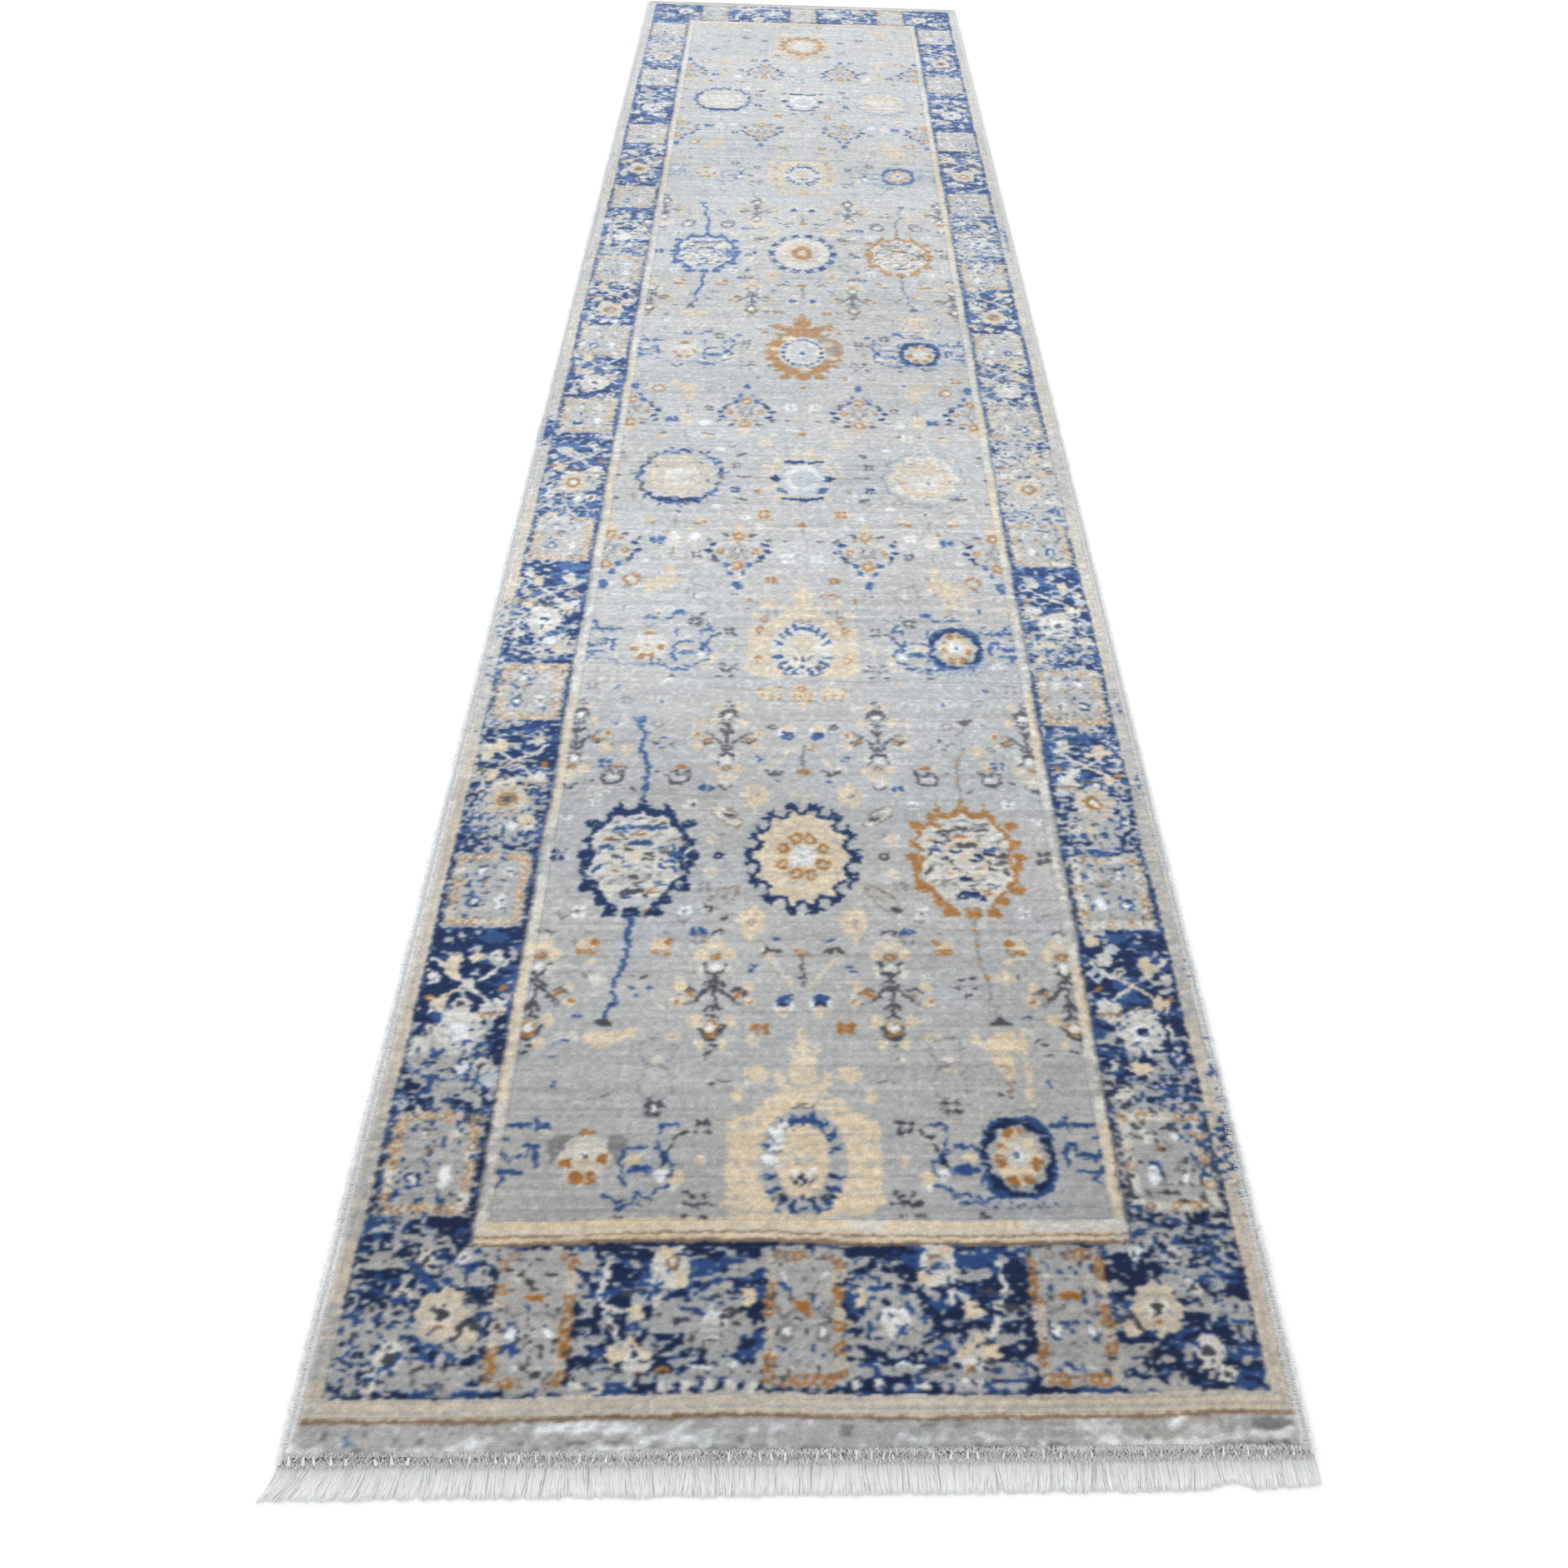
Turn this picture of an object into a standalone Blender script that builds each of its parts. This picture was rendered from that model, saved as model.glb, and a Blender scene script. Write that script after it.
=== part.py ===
"""Runner rug, 1.00 m x 4.00 m of carpet with a loose cotton fringe at both ends.

Frame: metres, +Z up, X across the runner, Y along it. The origin is at the
centre of the underside, so z = 0 is the floor that the rug lies on.

Bottom to top the carpet is a latex coat, a ground weave and the pile. The pile
tufts are grouped by the band of the design that they form. Each long edge is
overcast with yarn round a cord. At each end a woven header tape lies under the
ground weave, a zigzag seam thread holds it, and the fringe hangs from it and
can be turned up and back over the pile.
"""

import bpy
import math

# ---------------------------------------------------------------- dimensions
GAP = 0.0003  # between pieces that touch

RUG_LENGTH = 4.000  # end of the carpet to end of the carpet, fringe left out
RUG_WIDTH = 1.000  # over both overcast edges

COAT_T = 0.0010  # latex back coat
WEAVE_T = 0.0017  # ground weave, warp and weft with the feet of the tufts
PILE_H = 0.0062  # cut pile above the ground weave

EDGE_R = 0.0035  # overcast edge, outer radius
EDGE_BORE_R = 0.0022  # inside of the overcasting yarn
EDGE_CORD_R = 0.0019  # core cord
EDGE_SIDES = 16

# Distances in to each line of the design: from the long edge, from the near end
# and from the far end. The cloth is cut a little sooner at the far end, so the
# lines lie nearer to it there.
GUARD_OUT_X, GUARD_OUT_NEAR, GUARD_OUT_FAR = 0.0135, 0.0370, 0.0160
BORDER_X, BORDER_NEAR, BORDER_FAR = 0.0320, 0.0550, 0.0270
GUARD_IN_X, GUARD_IN_NEAR, GUARD_IN_FAR = 0.1460, 0.1950, 0.1650
FIELD_X, FIELD_NEAR, FIELD_FAR = 0.1650, 0.2210, 0.1860

SEAM_BAND = 0.0060  # strip at each end with no standing pile, for the seam
HEADER_DEPTH = 0.0120  # width of the header tape
SEAM_R = 0.0006  # seam thread
SEAM_PITCH = 0.0125  # one stitch to the next
SEAM_SWING = 0.0036  # across the zigzag

FRINGE_LEN = 0.0300
FRINGE_T = 0.0030
FRINGE_SPLAY = 0.0100  # how far the end threads stand out past the long edge
FOLD_Z = 0.0066  # height of the line that the fringe turns about

# ------------------------------------------------------------ derived levels
HALF_L = RUG_LENGTH / 2
HALF_W = RUG_WIDTH / 2
EDGE_W = 2 * EDGE_R
BODY_HALF_W = HALF_W - EDGE_W - GAP  # carpet proper, inside the edges

COAT_Z = (0.0, COAT_T)
WEAVE_Z = (COAT_T + GAP, COAT_T + GAP + WEAVE_T)
PILE_Z = (WEAVE_Z[1] + GAP, WEAVE_Z[1] + GAP + PILE_H)


# ------------------------------------------------------------------- helpers
def clear_scene():
    for obj in list(bpy.data.objects):
        bpy.data.objects.remove(obj, do_unlink=True)
    for block in (bpy.data.meshes, bpy.data.curves, bpy.data.materials):
        for item in list(block):
            block.remove(item)


def new_collection(name):
    collection = bpy.data.collections.new(name)
    bpy.context.scene.collection.children.link(collection)
    return collection


def make_material(name, colour, roughness, sheen=0.0):
    mat = bpy.data.materials.new(name)
    mat.use_nodes = True
    shader = mat.node_tree.nodes["Principled BSDF"]
    shader.inputs["Base Color"].default_value = (*colour, 1.0)
    shader.inputs["Roughness"].default_value = roughness
    shader.inputs["Metallic"].default_value = 0.0
    shader.inputs["Sheen Weight"].default_value = sheen
    mat.diffuse_color = (*colour, 1.0)
    mat.roughness = roughness
    return mat


def place(obj, collection, mat, parent=None):
    collection.objects.link(obj)
    obj.data.materials.append(mat)
    if parent is not None:
        obj.parent = parent
        obj.matrix_parent_inverse.identity()
        obj.location = [a - b for a, b in zip(obj.location, parent.location)]
    return obj


def flat_outline(name, loops, z_low, z_high, collection, mat):
    """A flat piece: a filled outline, with a hole for each further loop, given
    half its thickness each way from its middle height."""
    curve = bpy.data.curves.new(name, "CURVE")
    curve.dimensions = "2D"
    curve.fill_mode = "BOTH"
    curve.extrude = (z_high - z_low) / 2
    for points in loops:
        spline = curve.splines.new("POLY")
        spline.points.add(len(points) - 1)
        for point, (x, y) in zip(spline.points, points):
            point.co = (x, y, 0.0, 1.0)
        spline.use_cyclic_u = True
    obj = bpy.data.objects.new(name, curve)
    obj.location = (0.0, 0.0, (z_low + z_high) / 2)
    return place(obj, collection, mat)


def rectangle(half_x, y_low, y_high):
    return [(-half_x, y_low), (half_x, y_low), (half_x, y_high), (-half_x, y_high)]


def design_line(from_edge, from_near, from_far):
    """The rectangle that lies this far in from the long edges and the two ends."""
    return (HALF_W - from_edge, -HALF_L + from_near, HALF_L - from_far)


def band(name, outer, inner, collection, mat):
    """A frame-shaped group of pile tufts between two rectangles. A gap is left
    all round its inner side for the next group."""
    loops = [rectangle(*outer)]
    if inner is not None:
        half_x, y_low, y_high = inner
        loops.append(rectangle(half_x + GAP, y_low - GAP, y_high + GAP))
    return flat_outline(name, loops, PILE_Z[0], PILE_Z[1], collection, mat)


def edge_sleeve(name, side, collection, mat):
    """Overcasting yarn round the cord: a tube with open ends. Its wall is a
    cylinder without end faces, thickened inwards."""
    bpy.ops.mesh.primitive_cylinder_add(
        vertices=EDGE_SIDES,
        radius=EDGE_R,
        depth=RUG_LENGTH,
        end_fill_type="NOTHING",
        location=(0.0, 0.0, 0.0),
    )
    obj = bpy.context.object
    obj.name = name
    obj.data.name = name
    for owner in list(obj.users_collection):
        owner.objects.unlink(obj)
    # flats at the top and bottom, so that the edge rests on a face
    obj.rotation_euler = (math.radians(90.0), math.pi / EDGE_SIDES, 0.0)
    flat = EDGE_R * math.cos(math.pi / EDGE_SIDES)
    obj.location = (side * (HALF_W - EDGE_R), 0.0, flat)
    wall = obj.modifiers.new("yarn_wall", "SOLIDIFY")
    wall.thickness = EDGE_R - EDGE_BORE_R
    wall.offset = -1.0
    wall.use_even_offset = True
    wall.use_rim = True
    place(obj, collection, mat)
    obj.data.shade_smooth()
    obj.data.set_sharp_from_angle(angle=math.radians(50.0))
    return obj


def straight_cord(name, side, collection, mat):
    """Core cord of the edge, as long as the carpet."""
    curve = bpy.data.curves.new(name, "CURVE")
    curve.dimensions = "3D"
    curve.bevel_depth = EDGE_CORD_R
    curve.bevel_resolution = 2
    curve.use_fill_caps = True
    spline = curve.splines.new("POLY")
    stations = 9
    spline.points.add(stations - 1)
    for i, point in enumerate(spline.points):
        y = -HALF_L + 0.0006 + (RUG_LENGTH - 0.0012) * i / (stations - 1)
        point.co = (0.0, y, 0.0, 1.0)
    obj = bpy.data.objects.new(name, curve)
    flat = EDGE_R * math.cos(math.pi / EDGE_SIDES)
    obj.location = (side * (HALF_W - EDGE_R), 0.0, flat)
    return place(obj, collection, mat)


def seam_thread(name, end, collection, mat):
    """The thread that sews the header on: a zigzag lying on the ground weave
    in the strip where the pile stops short of the end."""
    curve = bpy.data.curves.new(name, "CURVE")
    curve.dimensions = "3D"
    curve.bevel_depth = SEAM_R
    curve.bevel_resolution = 1
    curve.use_fill_caps = True
    spline = curve.splines.new("POLY")
    reach = BODY_HALF_W - 0.004
    stitches = int(round(2 * reach / SEAM_PITCH)) * 2
    spline.points.add(stitches)
    for i, point in enumerate(spline.points):
        x = -reach + 2 * reach * i / stitches
        y = (SEAM_SWING / 2) * (1 if i % 2 else -1)
        point.co = (x, y, 0.0, 1.0)
    obj = bpy.data.objects.new(name, curve)
    obj.location = (
        0.0,
        end * (HALF_L - SEAM_BAND / 2),
        WEAVE_Z[1] + GAP + SEAM_R,
    )
    return place(obj, collection, mat)


def fringe(name, end, collection, mat, parent):
    """All the loose threads of one end as a flat skirt that widens to its
    tips, with its parent on the line that it turns about."""
    root, tip = GAP, GAP + FRINGE_LEN
    outline = [
        (-HALF_W + 0.001, root),
        (HALF_W - 0.001, root),
        (HALF_W + FRINGE_SPLAY * 0.55, 0.55 * tip),
        (HALF_W + FRINGE_SPLAY, 0.93 * tip),
        (HALF_W + FRINGE_SPLAY - 0.006, tip),
        (-HALF_W - FRINGE_SPLAY + 0.006, tip),
        (-HALF_W - FRINGE_SPLAY, 0.93 * tip),
        (-HALF_W - FRINGE_SPLAY * 0.55, 0.55 * tip),
    ]
    curve = bpy.data.curves.new(name, "CURVE")
    curve.dimensions = "2D"
    curve.fill_mode = "BOTH"
    curve.extrude = FRINGE_T / 2
    spline = curve.splines.new("POLY")
    spline.points.add(len(outline) - 1)
    for point, (x, out) in zip(spline.points, outline):
        point.co = (x, end * out, 0.0, 1.0)
    spline.use_cyclic_u = True
    obj = bpy.data.objects.new(name, curve)
    obj.location = (0.0, end * HALF_L, FRINGE_T / 2)
    return place(obj, collection, mat, parent)


# --------------------------------------------------------------------- build
def main():
    clear_scene()
    rug = new_collection("runner_rug")

    latex = make_material("latex_back", (0.62, 0.60, 0.55), 0.75)
    jute = make_material("ground_yarn", (0.46, 0.40, 0.31), 0.90)
    field = make_material("pile_light_grey", (0.56, 0.60, 0.65), 0.85, 0.3)
    cream = make_material("pile_cream", (0.75, 0.63, 0.45), 0.85, 0.3)
    blue = make_material("pile_blue", (0.03, 0.09, 0.28), 0.85, 0.3)
    stone = make_material("pile_warm_grey", (0.42, 0.40, 0.38), 0.80, 0.3)
    edge_yarn = make_material("edge_yarn", (0.60, 0.60, 0.59), 0.85, 0.2)
    cord = make_material("edge_cord", (0.66, 0.62, 0.54), 0.90)
    tape = make_material("header_tape", (0.80, 0.80, 0.77), 0.90)
    thread = make_material("seam_thread", (0.85, 0.86, 0.86), 0.55)
    cotton = make_material("fringe_cotton", (0.82, 0.84, 0.84), 0.80, 0.2)

    # carcass
    flat_outline(
        "latex_back_coat",
        [
            rectangle(
                BODY_HALF_W,
                -HALF_L + HEADER_DEPTH + GAP,
                HALF_L - HEADER_DEPTH - GAP,
            )
        ],
        COAT_Z[0],
        COAT_Z[1],
        rug,
        latex,
    )
    flat_outline(
        "ground_weave",
        [rectangle(BODY_HALF_W, -HALF_L, HALF_L)],
        WEAVE_Z[0],
        WEAVE_Z[1],
        rug,
        jute,
    )

    # pile, from the middle out
    lines = {
        "edge": (BODY_HALF_W, -HALF_L + SEAM_BAND, HALF_L - SEAM_BAND),
        "guard_out": design_line(GUARD_OUT_X, GUARD_OUT_NEAR, GUARD_OUT_FAR),
        "border": design_line(BORDER_X, BORDER_NEAR, BORDER_FAR),
        "guard_in": design_line(GUARD_IN_X, GUARD_IN_NEAR, GUARD_IN_FAR),
        "field": design_line(FIELD_X, FIELD_NEAR, FIELD_FAR),
    }
    band("pile_field", lines["field"], None, rug, field)
    band("pile_inner_guard_stripe", lines["guard_in"], lines["field"], rug, cream)
    band("pile_main_border", lines["border"], lines["guard_in"], rug, blue)
    band("pile_outer_guard_stripe", lines["guard_out"], lines["border"], rug, cream)
    band("pile_plain_margin", lines["edge"], lines["guard_out"], rug, stone)

    # long edges
    for word, side in (("left", -1), ("right", 1)):
        edge_sleeve(f"edge_overcasting_{word}", side, rug, edge_yarn)
        straight_cord(f"edge_cord_{word}", side, rug, cord)

    # ends
    for word, end in (("near", -1), ("far", 1)):
        y_out, y_in = end * HALF_L, end * (HALF_L - HEADER_DEPTH)
        flat_outline(
            f"fringe_header_tape_{word}",
            [
                [
                    (-BODY_HALF_W, y_out),
                    (BODY_HALF_W, y_out),
                    (BODY_HALF_W, y_in),
                    (-BODY_HALF_W, y_in),
                ]
            ],
            COAT_Z[0],
            COAT_Z[1],
            rug,
            tape,
        )
        seam_thread(f"fringe_seam_thread_{word}", end, rug, thread)
        hinge = bpy.data.objects.new(f"fringe_fold_line_{word}", None)
        hinge.empty_display_type = "PLAIN_AXES"
        hinge.empty_display_size = 0.05
        hinge.location = (0.0, end * HALF_L, FOLD_Z)
        rug.objects.link(hinge)
        fringe(f"fringe_threads_{word}", end, rug, cotton, hinge)


main()
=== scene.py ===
import bpy
import math
import numpy as np
from mathutils import Matrix, Vector


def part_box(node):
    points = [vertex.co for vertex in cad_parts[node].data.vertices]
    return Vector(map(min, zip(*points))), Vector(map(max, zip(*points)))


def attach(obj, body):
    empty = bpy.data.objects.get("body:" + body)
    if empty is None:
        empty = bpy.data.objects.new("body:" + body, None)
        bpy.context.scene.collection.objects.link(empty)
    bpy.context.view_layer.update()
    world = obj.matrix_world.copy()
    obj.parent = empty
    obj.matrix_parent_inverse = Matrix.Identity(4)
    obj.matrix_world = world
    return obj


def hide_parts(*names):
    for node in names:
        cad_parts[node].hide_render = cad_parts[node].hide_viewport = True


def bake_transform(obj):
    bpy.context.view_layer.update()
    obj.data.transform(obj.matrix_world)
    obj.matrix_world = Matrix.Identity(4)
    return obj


# Runner rug: the looks. Metres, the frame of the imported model. X across, Y along, Z up.

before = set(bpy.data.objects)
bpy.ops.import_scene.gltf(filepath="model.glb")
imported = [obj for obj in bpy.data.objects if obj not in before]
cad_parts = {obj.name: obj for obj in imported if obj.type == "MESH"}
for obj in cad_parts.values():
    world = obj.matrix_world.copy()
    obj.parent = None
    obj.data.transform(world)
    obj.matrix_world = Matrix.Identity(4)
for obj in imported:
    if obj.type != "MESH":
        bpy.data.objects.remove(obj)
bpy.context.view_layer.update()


# ---------------------------------------------------------------- light levels
WORLD_STRENGTH = 0.99
KEY_POWER = 26.0
FAR_POWER = 30.0

# ---------------------------------------------------------------- the woven design
# The design is drawn on a grid of knots: each knot holds one ink, and each ink one colour, painted lighter toward the
# far end as painted light.
# Motifs are drawn with ellipses, rings, scalloped discs, polygons and strokes, at places in metres.
(FIELD, CREAM, TAN, BLUE, NAVY, CHAR, WHITE, PALE, CART, MARG, PEACH, BROWN, LBLUE, DGREY, SKY, SILVER, STRAW) = range(17)

#                near end (sRGB)    far end (sRGB), made lighter: painted light
INKS = {
    FIELD:  ((169, 170, 170), (206, 210, 213)),
    CREAM:  ((214, 198, 172), (224, 214, 197)),
    TAN:    ((158, 106, 54), (190, 152, 112)),
    BLUE:   ((44, 72, 122), (92, 126, 180)),
    NAVY:   ((24, 37, 68), (56, 86, 142)),
    CHAR:   ((66, 67, 74), (122, 126, 136)),
    WHITE:  ((222, 226, 228), (240, 243, 244)),
    PALE:   ((206, 203, 195), (228, 228, 224)),
    CART:   ((166, 166, 165), (207, 210, 210)),
    MARG:   ((168, 167, 165), (208, 210, 208)),
    PEACH:  ((198, 186, 169), (222, 216, 206)),
    BROWN:  ((134, 112, 92), (176, 168, 160)),
    LBLUE:  ((104, 122, 154), (146, 172, 208)),
    DGREY:  ((124, 124, 126), (172, 176, 180)),
    SKY:    ((178, 186, 194), (212, 220, 226)),
    SILVER: ((197, 199, 200), (220, 223, 224)),
    STRAW:  ((176, 138, 98), (204, 180, 152)),
}


def noise2(x, y, sx, sy, seed):
    """Smooth noise from 0 to 1 at the points x (columns) by y (rows), with features sx by sy metres in size."""
    u = (x - x[0]) / sx + 0.37
    v = (y - y[0]) / sy + 0.61
    grid = np.random.RandomState(seed).rand(int(v[-1]) + 3, int(u[-1]) + 3)
    i, j = u.astype(int), v.astype(int)
    fu, fv = u - i, v - j
    fu, fv = fu * fu * (3 - 2 * fu), fv * fv * (3 - 2 * fv)
    left = grid[:, i] * (1 - fu) + grid[:, i + 1] * fu
    return left[j] * (1 - fv)[:, None] + left[j + 1] * fv[:, None]


class Loom:
    """The grid of knots. Shapes are drawn at the place of a motif, set by at()."""

    def __init__(self, x, y):
        self.x, self.y = x, y
        self.ink = np.zeros((len(y), len(x)), np.uint8)
        rough = np.random.RandomState(5)
        shape = self.ink.shape
        self.wx = (noise2(x, y, 0.012, 0.006, 11) - 0.5) * 0.0036 + (noise2(x, y, 0.0075, 0.0030, 13) - 0.5) * 0.0068 + (rough.rand(*shape) - 0.5) * 0.0014
        self.wy = (noise2(x, y, 0.020, 0.010, 12) - 0.5) * 0.0032 + (noise2(x, y, 0.0050, 0.0040, 14) - 0.5) * 0.0044 + (rough.rand(*shape) - 0.5) * 0.0010
        self.at(0, 0)

    def at(self, x, y, mx=1, my=1, s=1.0):
        self.ox, self.oy, self.mx, self.my, self.s = x, y, mx, my, s
        return self

    def _area(self, x0, x1, y0, y1):
        """The knots in this box of the motif, and where each lies in it."""
        s = self.s
        ax, bx = sorted((self.ox + self.mx * s * x0, self.ox + self.mx * s * x1))
        ay, by = sorted((self.oy + self.my * s * y0, self.oy + self.my * s * y1))
        i0, i1 = np.searchsorted(self.x, [ax - 0.003, bx + 0.003])
        j0, j1 = np.searchsorted(self.y, [ay - 0.003, by + 0.003])
        part = (slice(j0, j1), slice(i0, i1))
        gx = (self.x[None, i0:i1] + self.wx[part] - self.ox) * self.mx / s
        gy = (self.y[j0:j1, None] + self.wy[part] - self.oy) * self.my / s
        return part, gx, gy

    def _put(self, part, mask, ink):
        self.ink[part][mask] = ink

    def rect(self, x0, x1, y0, y1, ink):
        part, gx, gy = self._area(x0, x1, y0, y1)
        self._put(part, (gx >= x0) & (gx <= x1) & (gy >= y0) & (gy <= y1), ink)

    def disc(self, x, y, rx, ink, ry=None, hole=0.0, turn=0.0, lobes=0, depth=0.2, phase=0.0):
        """An ellipse, or with hole a ring that leaves that share of its radius open. lobes scallops its outline."""
        ry = rx if ry is None else ry
        r = max(rx, ry) * 1.02
        part, gx, gy = self._area(x - r, x + r, y - r, y + r)
        gx, gy = gx - x, gy - y
        if turn:
            c, t = math.cos(turn), math.sin(turn)
            gx, gy = gx * c + gy * t, gy * c - gx * t
        ux, uy = gx / rx, gy / ry
        d = np.sqrt(ux * ux + uy * uy)
        if lobes:
            d = d / (1 - depth + depth * np.abs(np.cos(lobes * np.arctan2(uy, ux) / 2 + phase)))
        self._put(part, (d <= 1) & (d >= hole), ink)

    def line(self, points, w, ink, ink2=None, gap=0.0, seed=0):
        """A stroke of width w along the points. gap breaks it: that share of it is left out."""
        w = w * 1.10 + 0.0005
        rng = np.random.RandomState(seed + 17)
        for (ax, ay), (bx, by) in zip(points[:-1], points[1:]):
            long = math.hypot(bx - ax, by - ay)
            n = max(1, int(long / 0.008)) if gap or ink2 is not None else 1
            for k in range(n):
                if gap and rng.rand() < gap:
                    continue
                t0, t1 = k / n, (k + 1) / n
                px, py, qx, qy = ax + (bx - ax) * t0, ay + (by - ay) * t0, ax + (bx - ax) * t1, ay + (by - ay) * t1
                part, gx, gy = self._area(min(px, qx) - w, max(px, qx) + w, min(py, qy) - w, max(py, qy) + w)
                dx, dy = qx - px, qy - py
                t = np.clip(((gx - px) * dx + (gy - py) * dy) / max(dx * dx + dy * dy, 1e-12), 0, 1)
                d = np.hypot(gx - px - t * dx, gy - py - t * dy)
                self._put(part, d <= w / 2, ink2 if ink2 is not None and k % 2 else ink)

    def poly(self, points, ink):
        xs, ys = [p[0] for p in points], [p[1] for p in points]
        part, gx, gy = self._area(min(xs), max(xs), min(ys), max(ys))
        inside = np.zeros(gx.shape[:1] + gx.shape[1:], bool) | (gx * gy != gx * gy)
        for (ax, ay), (bx, by) in zip(points, points[1:] + points[:1]):
            if ay == by:
                continue
            inside ^= ((ay > gy) != (by > gy)) & (gx < (bx - ax) * (gy - ay) / (by - ay) + ax)
        self._put(part, inside, ink)

    def leaf(self, x, y, length, w, deg, ink):
        """A lens shape from its middle, turned deg degrees from the X axis."""
        a = math.radians(deg)
        r = length / 2
        part, gx, gy = self._area(x - r, x + r, y - r, y + r)
        u = (gx - x) * math.cos(a) + (gy - y) * math.sin(a)
        v = (gy - y) * math.cos(a) - (gx - x) * math.sin(a)
        self._put(part, np.abs(v) <= w / 2 * (1 - (u / r) ** 2), ink)

    def ring_of(self, n, x, y, rx, ry, draw, phase=0.0):
        """draw(x, y, degrees outward) at n places round an ellipse."""
        for k in range(n):
            a = phase + 2 * math.pi * k / n
            draw(x + rx * math.cos(a), y + ry * math.sin(a), math.degrees(a))

    # --- small motifs
    def rosette(self, x, y, r, petal=PALE, eye=WHITE, ring=None, n=8, ry=None):
        ry = r if ry is None else ry
        self.disc(x, y, r, petal, ry=ry, lobes=n, depth=0.16)
        for k in range(n):
            a = 2 * math.pi * (k + 0.5) / n
            self.line([(x + 0.45 * r * math.cos(a), y + 0.45 * ry * math.sin(a)), (x + 0.8 * r * math.cos(a), y + 0.8 * ry * math.sin(a))], 0.0012, CART if petal != CART else DGREY)
        if ring is not None:
            self.disc(x, y, r * 0.42, ring, ry=ry * 0.42, hole=0.55)
        self.disc(x, y, r * 0.2, eye, ry=ry * 0.2)

    def quatre(self, x, y, r, ink, eye=None):
        for dx, dy in ((-1, -1), (1, -1), (-1, 1), (1, 1)):
            self.disc(x + dx * r * 0.6, y + dy * r * 0.6, r * 0.5, ink)
        if eye is not None:
            self.disc(x, y, r * 0.3, eye)

    def bow(self, x, y, w, h, ink):
        for sx in (-1, 1):
            self.leaf(x + sx * w * 0.3, y + h * 0.12, w * 0.62, h * 0.6, -38 * sx, ink)
            self.leaf(x + sx * w * 0.26, y - h * 0.22, w * 0.4, h * 0.4, 60 * sx, ink)

    def dashes(self, places, w, h, ink):
        for x, y in places:
            self.disc(x, y, w / 2, ink, ry=h / 2)


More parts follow.
